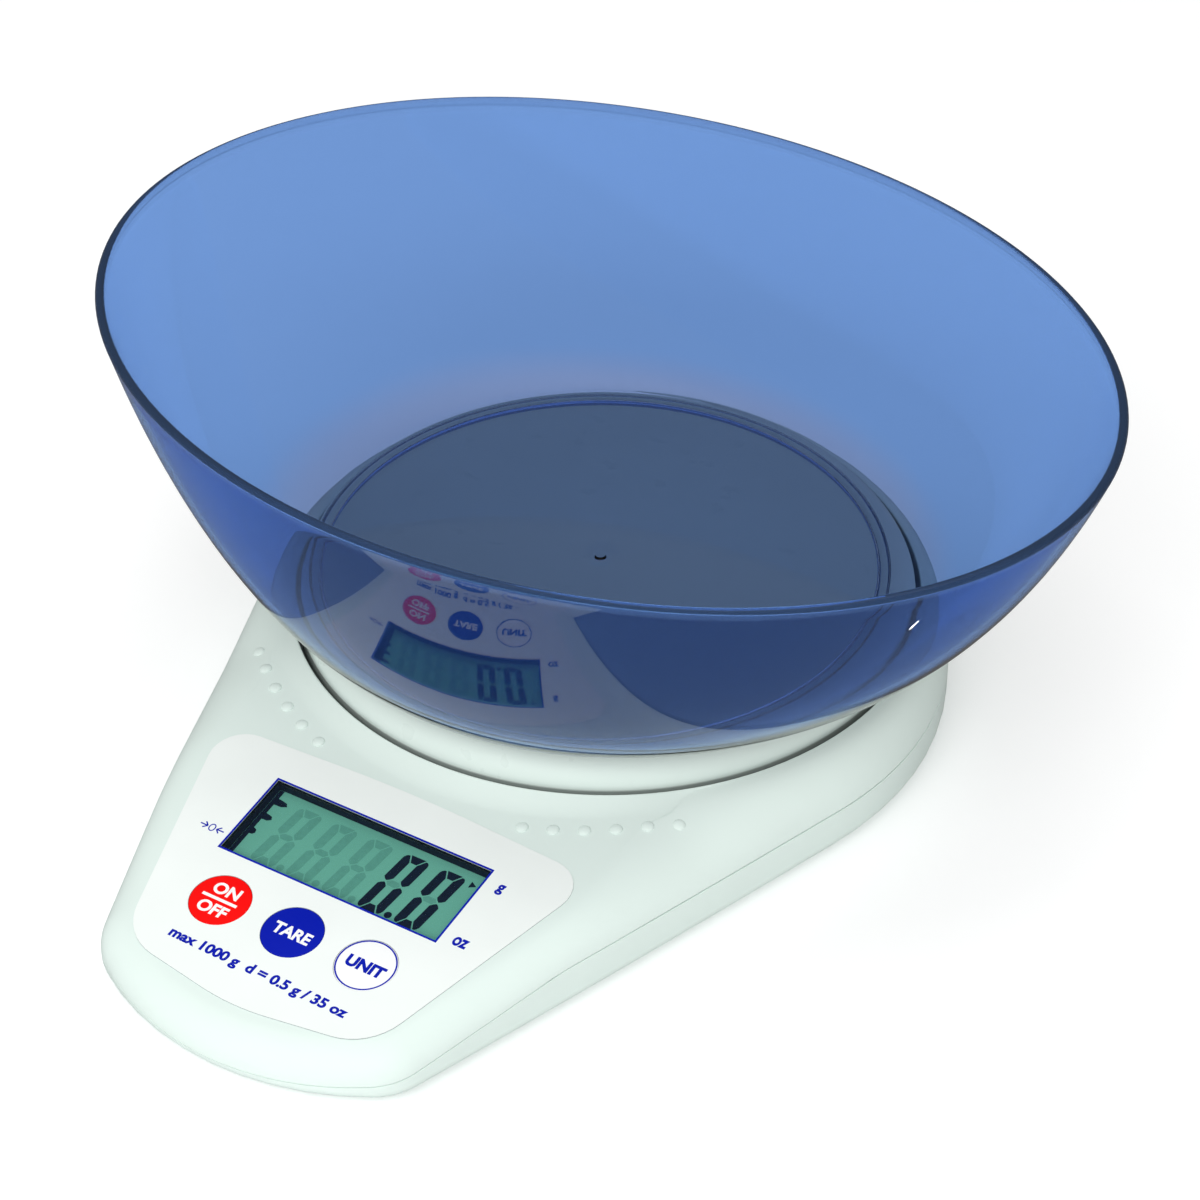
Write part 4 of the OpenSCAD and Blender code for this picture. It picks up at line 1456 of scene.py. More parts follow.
@dataclass
class Covers:
    """Upper cover, lower tray, feet, screws and the grip dots beside the platform.

    Attributes:
        wall: Thickness of the wall.
        well_h: Height of the well's floor.
        well_t: Thickness of the well.
        opening_r: Radius of the opening in the well's floor.
        window: Opening for the display, on the deck.
        rebate: Recess that the pane lies in.
        rebate_t: Its depth.
        hole_r: Radius of the button holes.
        button_x: Middles of the button holes on the deck.
        button_y: The same, along the deck.
        lip_break: How far the lower lip is broken back.
        dot_ring_r: Radius of the ring that the dots lie on.
        dot_first: Angle of the first dot from the front, in degrees.
        dot_step: Angle between dots, in degrees.
        dots: Number of dots on each side.
        dot_r: Radius of a dot.
        dot_h: Height of a dot.
        dot_probe: Step over which the surface's slope at a dot is measured.
        board_depth: Depth of the circuit board below the deck.
        board_post: The board's posts.
        board_posts: Their places on the deck, each on both sides.
        case_low: Height of the underside of the case's posts.
        case_post: The case's posts.
        case_posts: Their places around the platform's axis, each on both sides.
        crest_shares: Shares of the way over the rolled edge that get a ring.
        deck_shares: The same, over the deck.
        lip_angles: Angles of the collar's rounded lip that get a ring, in degrees.
        flank_steps: Steps up the hollow slope.
        inner_steps: Steps up the slope and over the rolled edge on the inner surface.
        cut_margin: How far the cuts stand out of the wall.
    """

    form: HousingForm
    wall: float = 2.0
    well_h: float = 20.0
    well_t: float = 1.6
    opening_r: float = 46.0
    window: Pair = (60.6, 25.0)
    rebate: Pair = (62.7, 27.1)
    rebate_t: float = 0.8
    hole_r: float = 7.25
    button_x: tuple[float, float, float] = (-19.7, 0.0, 19.7)
    button_y: float = -24.4
    lip_break: float = 0.3
    dot_ring_r: float = 85.6
    dot_first: float = 19.1
    dot_step: float = 4.75
    dots: int = 6
    dot_r: float = 1.5
    dot_h: float = 0.65
    dot_probe: float = 0.4
    board_depth: float = 8.2
    board_post: ScrewPost = ScrewPost(radius=2.7, bore=1.05, depth=5.5)
    board_posts: tuple[Pair, ...] = ((37.5, 10.45), (27.8, -33.0))
    case_low: float = 8.0
    case_post: ScrewPost = ScrewPost(radius=3.4, bore=1.55, depth=4.5)
    case_posts: tuple[Pair, ...] = ((58.0, 30.0), (46.0, -80.0), (20.0, -147.0))
    crest_shares: tuple[float, ...] = (0.02, *shares(14)[1:])
    deck_shares: tuple[float, ...] = (0.06, 0.5, 0.94)
    lip_angles: tuple[float, ...] = (30, 60, 90)
    flank_steps: int = 12
    inner_steps: tuple[int, int] = (6, 8)
    cut_margin: float = 1.0

    def shell(self) -> Shape:
        """Skins the upper cover's outer and inner surface as one closed wall.

        Returns:
            The wall, without the deck's openings.
        """
        form = self.form
        lip = form.collar_r - form.well_r
        below = self.well_h - self.well_t
        inner_r = form.well_r + self.well_t

        up, over_edge = (list(reversed(shares(steps))) for steps in self.inner_steps)

        def over(rule: Callable, inset: float, radius: float, ways: Iterable) -> list[list[Vector]]:
            """Returns a ring for each share of the way over a form."""
            return [form.ring(lambda p, s=share: rule(p, inset, radius, s)) for share in ways]

        rings = [
            form.seam_ring(self.lip_break, form.seam_gap),
            *over(form.crest, 0, form.collar_r, self.crest_shares),
            *(form.ring(lambda p, s=share: form.deck(p, s)) for share in self.deck_shares),
            *over(form.flank, 0, form.collar_r, shares(self.flank_steps)),
        ]
        for angle in map(math.radians, self.lip_angles):
            rings.append(form.round_ring(
                form.well_r + lip * (1 - math.sin(angle)),
                form.collar_h - lip * (1 - math.cos(angle)),
            ))
        rings += [
            form.round_ring(form.well_r, self.well_h),
            form.round_ring(self.opening_r, self.well_h),
            form.round_ring(self.opening_r, below),
            form.round_ring(inner_r, below),
            *over(form.flank, self.wall, inner_r, up),
            *over(form.crest, self.wall, inner_r, over_edge),
        ]
        return loft([*rings, rings[0]])

    def cutters(self) -> list[Shape]:
        """Makes the cuts of the deck: window, pane rebate and button holes.

        Returns:
            The shapes to take away.
        """
        deck, margin = self.form.deck_frame(), self.cut_margin
        cuts = [
            block(*self.window, -self.wall - margin, margin),
            block(*self.rebate, -self.rebate_t, margin),
        ]
        for x in self.button_x:
            hole = round_outline(self.hole_r, 72, x, self.button_y)
            cuts.append(prism(hole, -self.wall - 2 * margin, 2 * margin))
        return [moved(cut, deck) for cut in cuts]

    def posts(self) -> list[Shape]:
        """Makes the screw posts inside the cover.

        Returns:
            The board's posts, square to the deck, and the case's posts.
        """
        form = self.form
        made = []
        for side in (-1, 1):
            for x, y in self.board_posts:
                place = form.deck_frame() @ Matrix.Translation((side * x, y, 0))
                post = self.board_post.shape(-self.board_depth, -self.wall / 2)
                made.append(moved(post, place))
            for x, y in self.case_posts:
                high = min(form.deck_z(y) - self.wall / 2, self.well_h - self.well_t / 2)
                place = Matrix.Translation(form.axis + Vector((side * x, y, 0)))
                made.append(moved(self.case_post.shape(self.case_low, high), place))
        return made

    def grip_dots(self) -> Shape:
        """Makes the raised dots, six on each side, each square to the surface under it.

        Returns:
            All dots as one shape.
        """
        made = []
        for side in (-1, 1):
            for index in range(self.dots):
                angle = math.radians(self.dot_first + self.dot_step * index)
                flat = Vector((math.sin(angle), -math.cos(angle))) * self.dot_ring_r
                made.append(self.dot(flat, side))
        return join(made)

    def dot(self, flat: Vector, side: int) -> Shape:
        """Makes one flat dome.

        Args:
            flat: Its place on the right-hand side, around the platform's axis.
            side: -1 for the left, 1 for the right.

        Returns:
            The dome.
        """
        form = self.form

        def slope(x: float, y: float) -> float:
            """Returns the surface's slope over a short step to either side along one axis."""
            step = Vector((x, y))
            return (form.height_at(flat + step) - form.height_at(flat - step)) / (2 * (x + y))

        dx, dy = slope(self.dot_probe, 0), slope(0, self.dot_probe)
        shape = bmesh.new()
        bmesh.ops.create_uvsphere(shape, u_segments=32, v_segments=16, radius=1.0)
        bmesh.ops.scale(shape, vec=(self.dot_r, self.dot_r, self.dot_h), verts=shape.verts)
        lean = Vector((-dx * side, -dy, 1)).to_track_quat("Z", "Y").to_matrix().to_4x4()
        place = Vector((flat.x * side, flat.y, form.height_at(flat))) + form.axis
        return moved(shape, Matrix.Translation(place) @ lean)

    def build(self) -> None:
        """Builds the covers and what is fixed to them."""
        upper = carve(self.shell(), self.cutters())
        piece("upper_cover", join([upper, *self.posts()]), Finishes.housing, Body.HOUSING,
              ["top_housing"])
        piece("lower_tray", node_copy("bottom_housing"), Finishes.housing, Body.HOUSING,
              ["bottom_housing"])
        piece("grip_dots", self.grip_dots(), Finishes.housing, Body.HOUSING)
        dress(Finishes.screw, "housing_screws")
        dress(Finishes.foot, "rubber_feet")


# ---- Platform and load cell ----------------------------------------------------------


@dataclass
class WeighingPlatform:
    """Round platform with its bracket, the bending beam below it and their fasteners."""

    form: HousingForm
    lip: float = 11.0
    wall: float = 2.2
    skirt: float = 5.4
    edge: float = 0.5
    relief: float = 0.25
    top_r: tuple[float, ...] = (0.0, 20.0, 45.0)
    lip_steps: int = 22
    steps: int = 192
    post: ScrewPost = ScrewPost(radius=3.5, bore=1.55, depth=5.0)
    post_at: Pair = (28.0, 14.0)
    beam_cuts: int = 8

    def plate(self) -> Shape:
        """Turns the platform with its rounded lip and its skirt.

        Returns:
            The platform's shell.
        """
        low, high = node_box("platform")
        radius = (high.x - low.x) / 2 - self.relief
        top, collar, steps = high.z, self.form.collar_h, self.lip_steps

        def lip(inset: float) -> list[Pair]:
            """Draws the lip's curve from its top outwards.

            Args:
                inset: How far it is set in from the outer surface.

            Returns:
                The curve as (radius, height).
            """
            return [
                (
                    radius - self.lip + (self.lip - inset) * math.sin(math.pi / 2 * i / steps),
                    collar + (top - collar - inset) * math.cos(math.pi / 2 * i / steps),
                )
                for i in range(steps + 1)
            ]

        foot = collar - self.skirt
        profile = [
            *((r, top) for r in self.top_r), *lip(0), (radius, foot + self.edge),
            (radius - self.edge, foot), (radius - self.wall, foot), *reversed(lip(self.wall)),
            (0.0, top - self.wall),
        ]
        return moved(lathe(profile, self.steps), Matrix.Translation(self.form.axis))

    def posts(self) -> list[Shape]:
        """Makes the four posts that the bracket is screwed to.

        Returns:
            The posts.
        """
        low = node_box("platform_bracket")[1].z
        top = node_box("platform")[1].z - self.wall / 2
        x, y = self.post_at
        return [
            moved(self.post.shape(low, top), Matrix.Translation(self.form.axis + Vector(place)))
            for place in ((-x, -y, 0), (-x, y, 0), (x, -y, 0), (x, y, 0))
        ]

    def beam(self) -> None:
        """Makes the beam and its gauges, cut across at even steps between the housing's spacer and
        the platform's.
        """
        start, end = node_box("load_cell_base_spacer")[1], node_box("load_cell_top_spacer")[0]
        end = Vector((end.x, start.y, start.z))
        for name, node, finish in (
            ("bending_beam", "load_cell", Finishes.beam),
            ("upper_gauge_pair", "strain_gauge_top", Finishes.gauge),
            ("lower_gauge_pair", "strain_gauge_bottom", Finishes.gauge),
        ):
            shape = node_copy(node)
            for share in shares(self.beam_cuts):
                bmesh.ops.bisect_plane(
                    shape, geom=[*shape.verts, *shape.edges, *shape.faces],
                    plane_co=start.lerp(end, share), plane_no=(1, 0, 0),
                )
            piece(name, shape, finish, Body.HOUSING, [node], bend=(Body.PLATFORM, start, end))

    def build(self) -> None:
        """Builds the platform and dresses what carries it."""
        self.beam()
        piece("platform_top", join([self.plate(), *self.posts()]), Finishes.platform,
              Body.PLATFORM, ["platform"])
        dress(Finishes.steel, "platform_bracket", "load_cell_base_spacer", "load_cell_top_spacer")
        dress(Finishes.screw, "platform_screws", "load_cell_base_screws", "load_cell_top_screws")


# ---- Bowl ----------------------------------------------------------------------------


@dataclass
class MixingBowl:
    """Loose oval bowl of tinted clear plastic on a round foot ring.

    Attributes:
        forward: How far its middle lies in front of the platform's axis.
        base_r: Radius of its base.
        foot_h: Height of the foot ring.
        foot_w: Width of the foot ring.
        wall: Thickness of the wall.
        rim_d: Diameter of the rim's bead.
        flare: Power of the wall's curve, smaller where it opens sooner.
        crowding: Power by which the wall's levels crowd towards the base.
        soft: Size of the rounded corners.
        foot_step: Width of the steps beside the foot ring.
        floor_step: How far the inner floor's edge lies inside the base's.
        floor_r: Radii of the rings on the inner floor.
        under_r: Radii of the rings on the underside, inside the foot ring.
        gate: The gate mark in the middle, as (radius, height above the floor).
        levels: Steps up the wall.
        steps: Steps in the full turn.
        half_w: Half the rim's width.
        half_d: Half the rim's depth.
        foot_z: Height of the foot ring's underside.
        base_z: Height of the base's underside.
        rim_r: Radius of the rim's bead.
        rim_z: Height of the bead's middle.
    """

    form: HousingForm
    forward: float = 3.3
    base_r: float = 70.0
    foot_h: float = 2.2
    foot_w: float = 2.4
    wall: float = 2.0
    rim_d: float = 2.3
    flare: float = 0.72
    crowding: float = 1.8
    soft: float = 0.7
    foot_step: float = 1.0
    floor_step: float = 0.6
    floor_r: tuple[float, ...] = (68.6, 67.8, 50.0, 25.0, 8.0)
    under_r: tuple[float, ...] = (0.0, 30.0, 60.0)
    gate: tuple[Pair, ...] = (
        (3.4, 0.0), (2.6, -0.1), (1.9, -0.14), (1.6, -0.04), (1.2, 0.36), (0.95, 0.42),
        (0.0, 0.42),
    )
    levels: int = 30
    steps: int = 192
    half_w: float = field(init=False)
    half_d: float = field(init=False)
    foot_z: float = field(init=False)
    base_z: float = field(init=False)
    rim_r: float = field(init=False)
    rim_z: float = field(init=False)

    def __post_init__(self) -> None:
        """Reads the bowl's reach and heights from the frame."""
        low, high = node_box("bowl")
        self.half_w, self.half_d = (high.x - low.x) / 2, (high.y - low.y) / 2
        self.foot_z = low.z
        self.base_z = self.foot_z + self.foot_h
        self.rim_r = self.rim_d / 2
        self.rim_z = high.z - self.rim_r

    def swell(self, share: float) -> float:
        """Returns the share of the way from the base's radius to the rim's radius."""
        return 2 * share**self.flare - share

    def wall_points(self, base: float, inset: float, low: float) -> list[Oval]:
        """Draws one side of the wall from the base to the rim.

        Args:
            base: Its radius at the base.
            inset: How far it ends inside the rim's outer edge.
            low: Its height at the base.

        Returns:
            The points as (half width, half depth, height).
        """
        high = self.rim_z - self.rim_r * math.sin(math.acos(self.wall / self.rim_d))
        points = []
        for i in range(self.levels + 1):
            share = (i / self.levels) ** self.crowding
            grown = self.swell(share)
            points.append((
                base + (self.half_w - inset - base) * grown,
                base + (self.half_d - inset - base) * grown,
                low + (high - low) * share,
            ))
        return points

    def rim_points(self, steps: int = 16) -> list[Oval]:
        """Draws the bead of the rim, from the outside over the top to the inside.

        Args:
            steps: Number of steps in the curve.

        Returns:
            The points as (half width, half depth, height).
        """
        start = math.acos(self.wall / self.rim_d)
        points = []
        for k in range(1, steps):
            angle = -start + (math.pi + 2 * start) * k / steps
            out = self.rim_r * math.cos(angle)
            points.append((
                self.half_w - self.rim_r + out, self.half_d - self.rim_r + out,
                self.rim_z + self.rim_r * math.sin(angle),
            ))
        return points

    def fillet(self, before: Vector, corner: Vector, after: Vector, steps: int = 6) -> list[Vector]:
        """Rounds one corner of a profile.

        Args:
            before: The corner before it.
            corner: The corner to round.
            after: The corner behind it.
            steps: Number of steps in the curve.

        Returns:
            The curve's points.
        """
        start = corner + (before - corner).normalized() * self.soft
        end = corner + (after - corner).normalized() * self.soft
        return [start.lerp(corner, t).lerp(corner.lerp(end, t), t) for t in shares(steps)]

    def profile(self) -> list[Oval]:
        """Draws the bowl's section from the underside's middle to the inner floor's middle.

        Returns:
            The points as (half width, half depth, height).
        """
        foot_out = self.base_r - self.foot_step
        foot_in = foot_out - self.foot_w
        outer_inset = self.rim_r - self.wall / 2
        floor = self.base_z + self.wall
        corners = [
            (foot_in, self.base_z), (foot_in, self.foot_z), (foot_out, self.foot_z),
            (foot_out, self.base_z), (self.base_r, self.base_z),
        ]
        under = [(r, self.base_z) for r in (*self.under_r, foot_in - self.foot_step)]
        for before, corner, after in zip([under[-1], *corners], corners, corners[1:]):
            under += self.fillet(Vector(before), Vector(corner), Vector(after))
        inside = self.wall_points(self.base_r - self.floor_step, outer_inset + self.wall, floor)
        return (
            [(r, r, z) for r, z in under]
            + self.wall_points(self.base_r, outer_inset, self.base_z)
            + self.rim_points()
            + list(reversed(inside))
            + [(r, r, floor) for r in self.floor_r]
            + [(r, r, floor + lift) for r, lift in self.gate]
        )

    def build(self) -> None:
        """Turns the profile as a round bowl and then widens each ring into its oval."""
        profile = self.profile()
        shape = bmesh.new()
        level = shape.verts.layers.int.new("level")
        verts = []
        for index, (half_w, _, height) in enumerate(profile):
            vert = bmesh.ops.create_vert(shape, co=(half_w, 0, height))["vert"][0]
            vert[level] = index
            verts.append(vert)
        spin_line(shape, verts, self.steps)
        for vert in shape.verts:
            half_w, half_d, _ = profile[vert[level]]
            if half_w:
                vert.co.y *= half_d / half_w
        tidy(shape)
        place = self.form.axis - Vector((0, self.forward, 0))
        piece("tinted_bowl", moved(shape, Matrix.Translation(place)), Finishes.bowl, Body.BOWL,
              ["bowl"], crease=30)


# ---- Control panel -------------------------------------------------------------------


@dataclass
class ControlPanel:
    """Printed label with generic marks, in the deck's own axes."""

    form: HousingForm
    top: float = 0.25
    window: Pair = (58.3, 22.7)
    border: float = 0.5
    capacity: str = "max 1000 g  d = 0.5 g / 35 oz"
    zero_at: Pair = (-34.1, -7.7)
    zero_inner: Pair = (0.58, 0.84)
    zero_outer: Pair = (0.86, 1.12)
    arrow_gap: float = 1.2
    arrow_reach: float = 2.0
    arrow_stroke: float = 0.32
    barb: float = 0.95
    barb_angle: float = 42.0

    def zero_mark(self) -> list[Shape]:
        """Makes the zero mark: a thin 0 between two arrows.

        Returns:
            The strokes of the 0 and of the arrows.
        """
        x, y = self.zero_at
        ring = round_outline(1, 24)
        inner, outer = (
            [(u * half_w + x, v * half_h + y) for u, v in ring]
            for half_w, half_h in (self.zero_inner, self.zero_outer)
        )
        made = [band(inner, outer, self.top, self.top + INK_T)]
        for side in (-1, 1):
            tip = x + side * self.arrow_gap
            shaft = block(self.arrow_reach, self.arrow_stroke, 0, INK_T)
            middle = (tip + side * self.arrow_reach / 2, y, self.top)
            made.append(moved(shaft, Matrix.Translation(middle)))
            for lean in (-1, 1):
                stroke = block(self.barb * 1.4, self.arrow_stroke, 0, INK_T)
                stroke = moved(stroke, Matrix.Translation((self.barb * 0.7, 0, 0)))
                angle = math.radians(90 - side * 90 + lean * self.barb_angle)
                place = Matrix.Translation((tip, y, self.top)) @ Matrix.Rotation(angle, 4, "Z")
                made.append(moved(stroke, place))
        return made

    def marks(self) -> Shape:
        """Makes all blue print of the label.

        Returns:
            The window's border, the zero mark and the words.
        """
        w, h = self.window
        edge = 2 * self.border
        border = band(
            box_outline(w, h), box_outline(w + edge, h + edge), self.top, self.top + INK_T
        )
        words = [
            Lettering(self.capacity, 48.0, 3.6, (-0.2, -37.6), 0.04, turn=-1.1, low=self.top),
            Lettering("g", 1.8, 3.05, (33.8, 7.6), low=self.top),
            Lettering("oz", 3.7, 2.6, (34.45, -9.3), low=self.top),
        ]
        marks = [border, *self.zero_mark(), *(word.shape() for word in words)]
        return moved(join(marks), self.form.deck_frame())

    def build(self) -> None:
        """Dresses the label and lays the print on it."""
        dress(Finishes.label, "overlay_label")
        piece("label_print", self.marks(), Finishes.blue_ink, Body.HOUSING)


class ButtonKind(Enum):
    """The three buttons from left to right."""

    ON_OFF = "on_off"
    TARE = "tare"
    UNIT = "unit"


@dataclass
class Buttons:
    """Three flush buttons with the switches and plungers under them, in the deck's own axes."""

    form: HousingForm
    y: float = -24.4
    pitch: float = 19.7
    radius: float = 7.17
    flange_r: float = 8.1
    low: float = -3.02
    flange_t: float = 0.8
    top: float = 0.25
    edge: float = 0.18
    ring: float = 0.38
    bar: Pair = (9.3, 0.78)
    edge_steps: int = 5
    steps: int = 96

    def cap(self, x: float) -> Shape:
        """Turns one button with its retaining flange.

        Args:
            x: The button's middle on the deck.

        Returns:
            The button in its place.
        """
        steps = self.edge_steps
        rounded = [
            (
                self.radius - self.edge + self.edge * math.cos(math.pi / 2 * i / steps),
                self.top - self.edge + self.edge * math.sin(math.pi / 2 * i / steps),
            )
            for i in range(steps + 1)
        ]
        shape = lathe([
            (0, self.low), (self.flange_r, self.low), (self.flange_r, self.low + self.flange_t),
            (self.radius, self.low + self.flange_t), *rounded, (0, self.top),
        ], self.steps)
        return moved(shape, self.form.deck_frame() @ Matrix.Translation((x, self.y, 0)))

    def legend(self, kind: ButtonKind) -> Shape:
        """Makes the print of a button.

        Args:
            kind: The button.

        Returns:
            Its print, in the frame's axes.
        """
        if kind is ButtonKind.ON_OFF:
            bar = block(*self.bar, 0, INK_T)
            parts = [
                Lettering("ON", 6.9, 3.3, (-19.8, -21.55), low=self.top).shape(),
                moved(bar, Matrix.Translation((-19.9, self.y, self.top))),
                Lettering("OFF", 7.7, 3.3, (-19.8, -27.27), low=self.top).shape(),
            ]
        elif kind is ButtonKind.TARE:
            parts = [Lettering("TARE", 9.8, 3.25, (0.1, -24.6), low=self.top).shape()]
        else:
            outer_r = self.radius - self.edge
            inner, outer = (
                round_outline(radius, self.steps, self.pitch, self.y)
                for radius in (outer_r - self.ring, outer_r)
            )
            parts = [
                Lettering("UNIT", 9.8, 3.25, (19.85, -24.75), weight=0.05, low=self.top).shape(),
                band(inner, outer, self.top, self.top + INK_T),
            ]
        return moved(join(parts), self.form.deck_frame())

    def build(self) -> None:
        """Builds the buttons and dresses the switches."""
        rows = [
            (ButtonKind.ON_OFF, -1, Body.ON_OFF, Finishes.red_button, Finishes.white_ink),
            (ButtonKind.TARE, 0, Body.TARE, Finishes.blue_button, Finishes.white_ink),
            (ButtonKind.UNIT, 1, Body.UNIT, Finishes.white_button, Finishes.ring_ink),
        ]
        for kind, side, body, finish, ink in rows:
            name = kind.value
            piece(f"{name}_cap", self.cap(side * self.pitch), finish, body, [f"button_{name}"])
            piece(f"{name}_print", self.legend(kind), ink, body)
            dress(Finishes.black, f"switch_{name}")
            dress(Finishes.plunger, f"plunger_{name}")


# ---- Display -------------------------------------------------------------------------


@dataclass
class Display:
    """Window, black frame and liquid crystal display with its segments, in the deck's own axes.

    Attributes:
        depth: Depth of the display's film below the deck.
        slant: Lean of the digits, as a share of their height.
        pitch: Distance between digits.
        last_x: Middle of the last digit.
        shown: The digits that are dark, at the right.
        places: Number of digits.
        upright: Outline of a digit's upper left segment, around the digit's middle.
        middle_bar: Outline of its middle segment.
        end_bar: Outline of its top segment.
        point_r: Radius of a decimal point.
        point_at: Place of the point behind a digit, from the digit's middle.
        left_dark_strip: Outline of the dark strip along the film's left edge.
        pointers: Height and length of each pointer at the left edge.
        unit_mark: Outline of the mark beside the unit.
    """

    form: HousingForm
    depth: float = 3.5
    slant: float = 0.1
    pitch: float = 9.79
    last_x: float = 19.67
    shown: str = "00"
    places: int = 5
    upright: tuple[Pair, ...] = (
        (-3.3, 1.2), (-2.75, 0.62), (-2.15, 0.25), (-1.55, 0.68), (-1.0, 1.35), (-1.0, 6.9),
        (-2.15, 8.85), (-2.6, 8.85), (-3.05, 8.45), (-3.3, 7.8),
    )
    middle_bar: tuple[Pair, ...] = (
        (-1.8, 0), (-1.0, 0.85), (1.0, 0.85), (1.8, 0), (1.0, -0.85), (-1.0, -0.85),
    )
    end_bar: tuple[Pair, ...] = ((-1.95, 9.15), (1.95, 9.15), (0.75, 7.05), (-0.75, 7.05))
    point_r: float = 0.92
    point_at: Pair = (4.0, -8.05)
    left_dark_strip: tuple[Pair, ...] = ((-29.1, 11.3), (-29.1, -11.3), (-27.9, -11.3), (-27.9, 11.3))
    pointers: tuple[Pair, ...] = ((7.95, 3.2), (3.05, 2.3), (-1.85, 1.2))
    unit_mark: tuple[Pair, ...] = ((25.2, 9.0), (25.2, 7.1), (26.8, 8.05))

    def ink(self, outline: Sequence[Pair], height: float = INK_T) -> Shape:
        """Makes a flat mark on the display's film.

        Args:
            outline: Its corners as (x, y).
            height: Its thickness.

        Returns:
            The mark.
        """
        return prism(outline, -self.depth, height - self.depth)

    def digit(self, lit: bool) -> list[tuple[list[Pair], bool]]:
        """Lists one digit's segments.

        Args:
            lit: Whether the digit shows a 0.

        Returns:
            Each segment's outline and whether it is dark.
        """
        found = [
            ([(x * side, y * level) for x, y in self.upright], lit)
            for side in (1, -1) for level in (1, -1)
        ]
        found += [([(x, y * level) for x, y in self.end_bar], lit) for level in (1, -1)]
        return [*found, (list(self.middle_bar), False)]

    def segments(self) -> tuple[list[Shape], list[Shape]]:
        """Makes every digit's segments.

        Returns:
            The dark segments, and the faint ones that are off.
        """
        dark, faint = [], []
        for index in range(self.places):
            middle = self.last_x - self.pitch * (self.places - 1 - index)
            for outline, on in self.digit(index >= self.places - len(self.shown)):
                points = [(middle + x + self.slant * y, y) for x, y in outline]
                (dark if on else faint).append(self.ink(points))
            if index < self.places - 1:
                x, y = self.point_at
                point = self.ink(round_outline(self.point_r, 24, middle + x, y))
                (dark if index == self.places - 2 else faint).append(point)
        return dark, faint

    def edge_marks(self) -> list[Shape]:
        """Makes the dark strip and the pointers at the display's edges.

        Returns:
            The dark strip, the pointers at the left and the mark at the right.
        """
        edge = self.left_dark_strip[2][0]
        made = [self.ink(self.left_dark_strip)]
        for y, reach in self.pointers:
            made.append(self.ink([
                (edge - 0.1, y + 0.95), (edge - 0.1, y - 1.0), (edge + reach * 0.6, y - 0.95),
                (edge + reach, y - 0.3), (edge + reach * 0.8, y + 0.55),
                (edge + reach * 0.4, y + 0.8),
            ], 1.2 * INK_T))
        return [*made, self.ink(self.unit_mark)]

    def build(self) -> None:
        """Builds the segments and dresses the display's parts."""
        dark, faint = self.segments()
        deck = self.form.deck_frame()
        dark_shape = moved(join([*dark, *self.edge_marks()]), deck)
        piece("display_digits", dark_shape, Finishes.segment, Body.HOUSING)
        piece("display_ghosts", moved(join(faint), deck), Finishes.ghost, Body.HOUSING)
        dress(Finishes.pane, "display_window")
        dress(Finishes.black, "display_frame")
        dress(Finishes.film, "display_film")
        dress(Finishes.glass, "display_glass")
        dress(Finishes.strip, "contact_strip_rear", "contact_strip_front")


# ---- Board, batteries and wires ------------------------------------------------------


@dataclass
class Electronics:
    """Circuit board, its screws and chip, and the wires that lead to it."""

    def build(self) -> None:
        """Dresses the board's parts and the wires."""
        dress(Finishes.laminate, "circuit_board")
        dress(Finishes.screw, "board_screws")
        dress(Finishes.black, "chip_cover")
        dress(Finishes.cable, "load_cell_cable")
        dress(Finishes.red_wire, "battery_wire_red")
        dress(Finishes.black_wire, "battery_wire_black")


@dataclass
class BatteryBay:
    """Two cells, their contacts and the lid in the underside."""

    coil_turns: int = 4
    turn_steps: int = 28
    narrow_r: float = 1.8
    wire_r: float = 0.4
    wire_sides: int = 8

    def coil(self, node: str, side: int) -> Shape:
        """Winds a coned contact spring in the space of its CAD solid.

        Args:
            node: The CAD node.
            side: 1 where the wide end is at the higher x.

        Returns:
            The coil.
        """
        low, high = node_box(node)
        middle = (low + high) / 2
        wide = (high.z - low.z) / 2 - self.wire_r
        span = high.x - low.x - 2 * self.wire_r
        steps = self.turn_steps * self.coil_turns
        shape = bmesh.new()
        section = bmesh.ops.create_circle(
            shape, segments=self.wire_sides, radius=self.wire_r, cap_ends=True
        )["verts"]
        bmesh.ops.translate(shape, vec=(1, 0, 0), verts=section)
        upright = Matrix.Rotation(math.pi / 2, 3, "X")
        bmesh.ops.rotate(shape, cent=(1, 0, 0), matrix=upright, verts=section)
        bmesh.ops.spin(
            shape, geom=list(shape.faces), cent=(0, 0, 0), axis=(0, 0, 1),
            dvec=(0, 0, span / steps), angle=math.tau * self.coil_turns, steps=steps,
            use_merge=False, use_duplicate=False,
        )
        for vert in shape.verts:
            share = min(1.0, max(0.0, vert.co.z / span))
            grown = wide + (self.narrow_r - wide) * share - 1
            flat = Vector((vert.co.x, vert.co.y, 0))
            vert.co += flat.normalized() * grown
        tidy(shape)
        lay = Matrix.Rotation(-side * math.pi / 2, 4, "Y")
        start = high.x - self.wire_r if side > 0 else low.x + self.wire_r
        return moved(shape, Matrix.Translation((start, middle.y, middle.z)) @ lay)

    def build(self) -> None:
        """Builds the springs and dresses the cells, plates and lid."""
        for name, side in (("left", -1), ("right", 1)):
            node = f"battery_spring_{name}"
            piece(f"contact_spring_{name}", self.coil(node, side), Finishes.spring, Body.HOUSING,
                  [node], crease=60)
        for node, flipped in (("battery_front", False), ("battery_rear", True)):
            low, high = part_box(node)
            dress(CellJacket(f"{node}_jacket", "cell_jacket", low.x, high.x, flipped), node)
        dress(Finishes.spring, "battery_plate_left", "battery_plate_right")
        dress(Finishes.housing, "battery_door")


# ---- Studio --------------------------------------------------------------------------


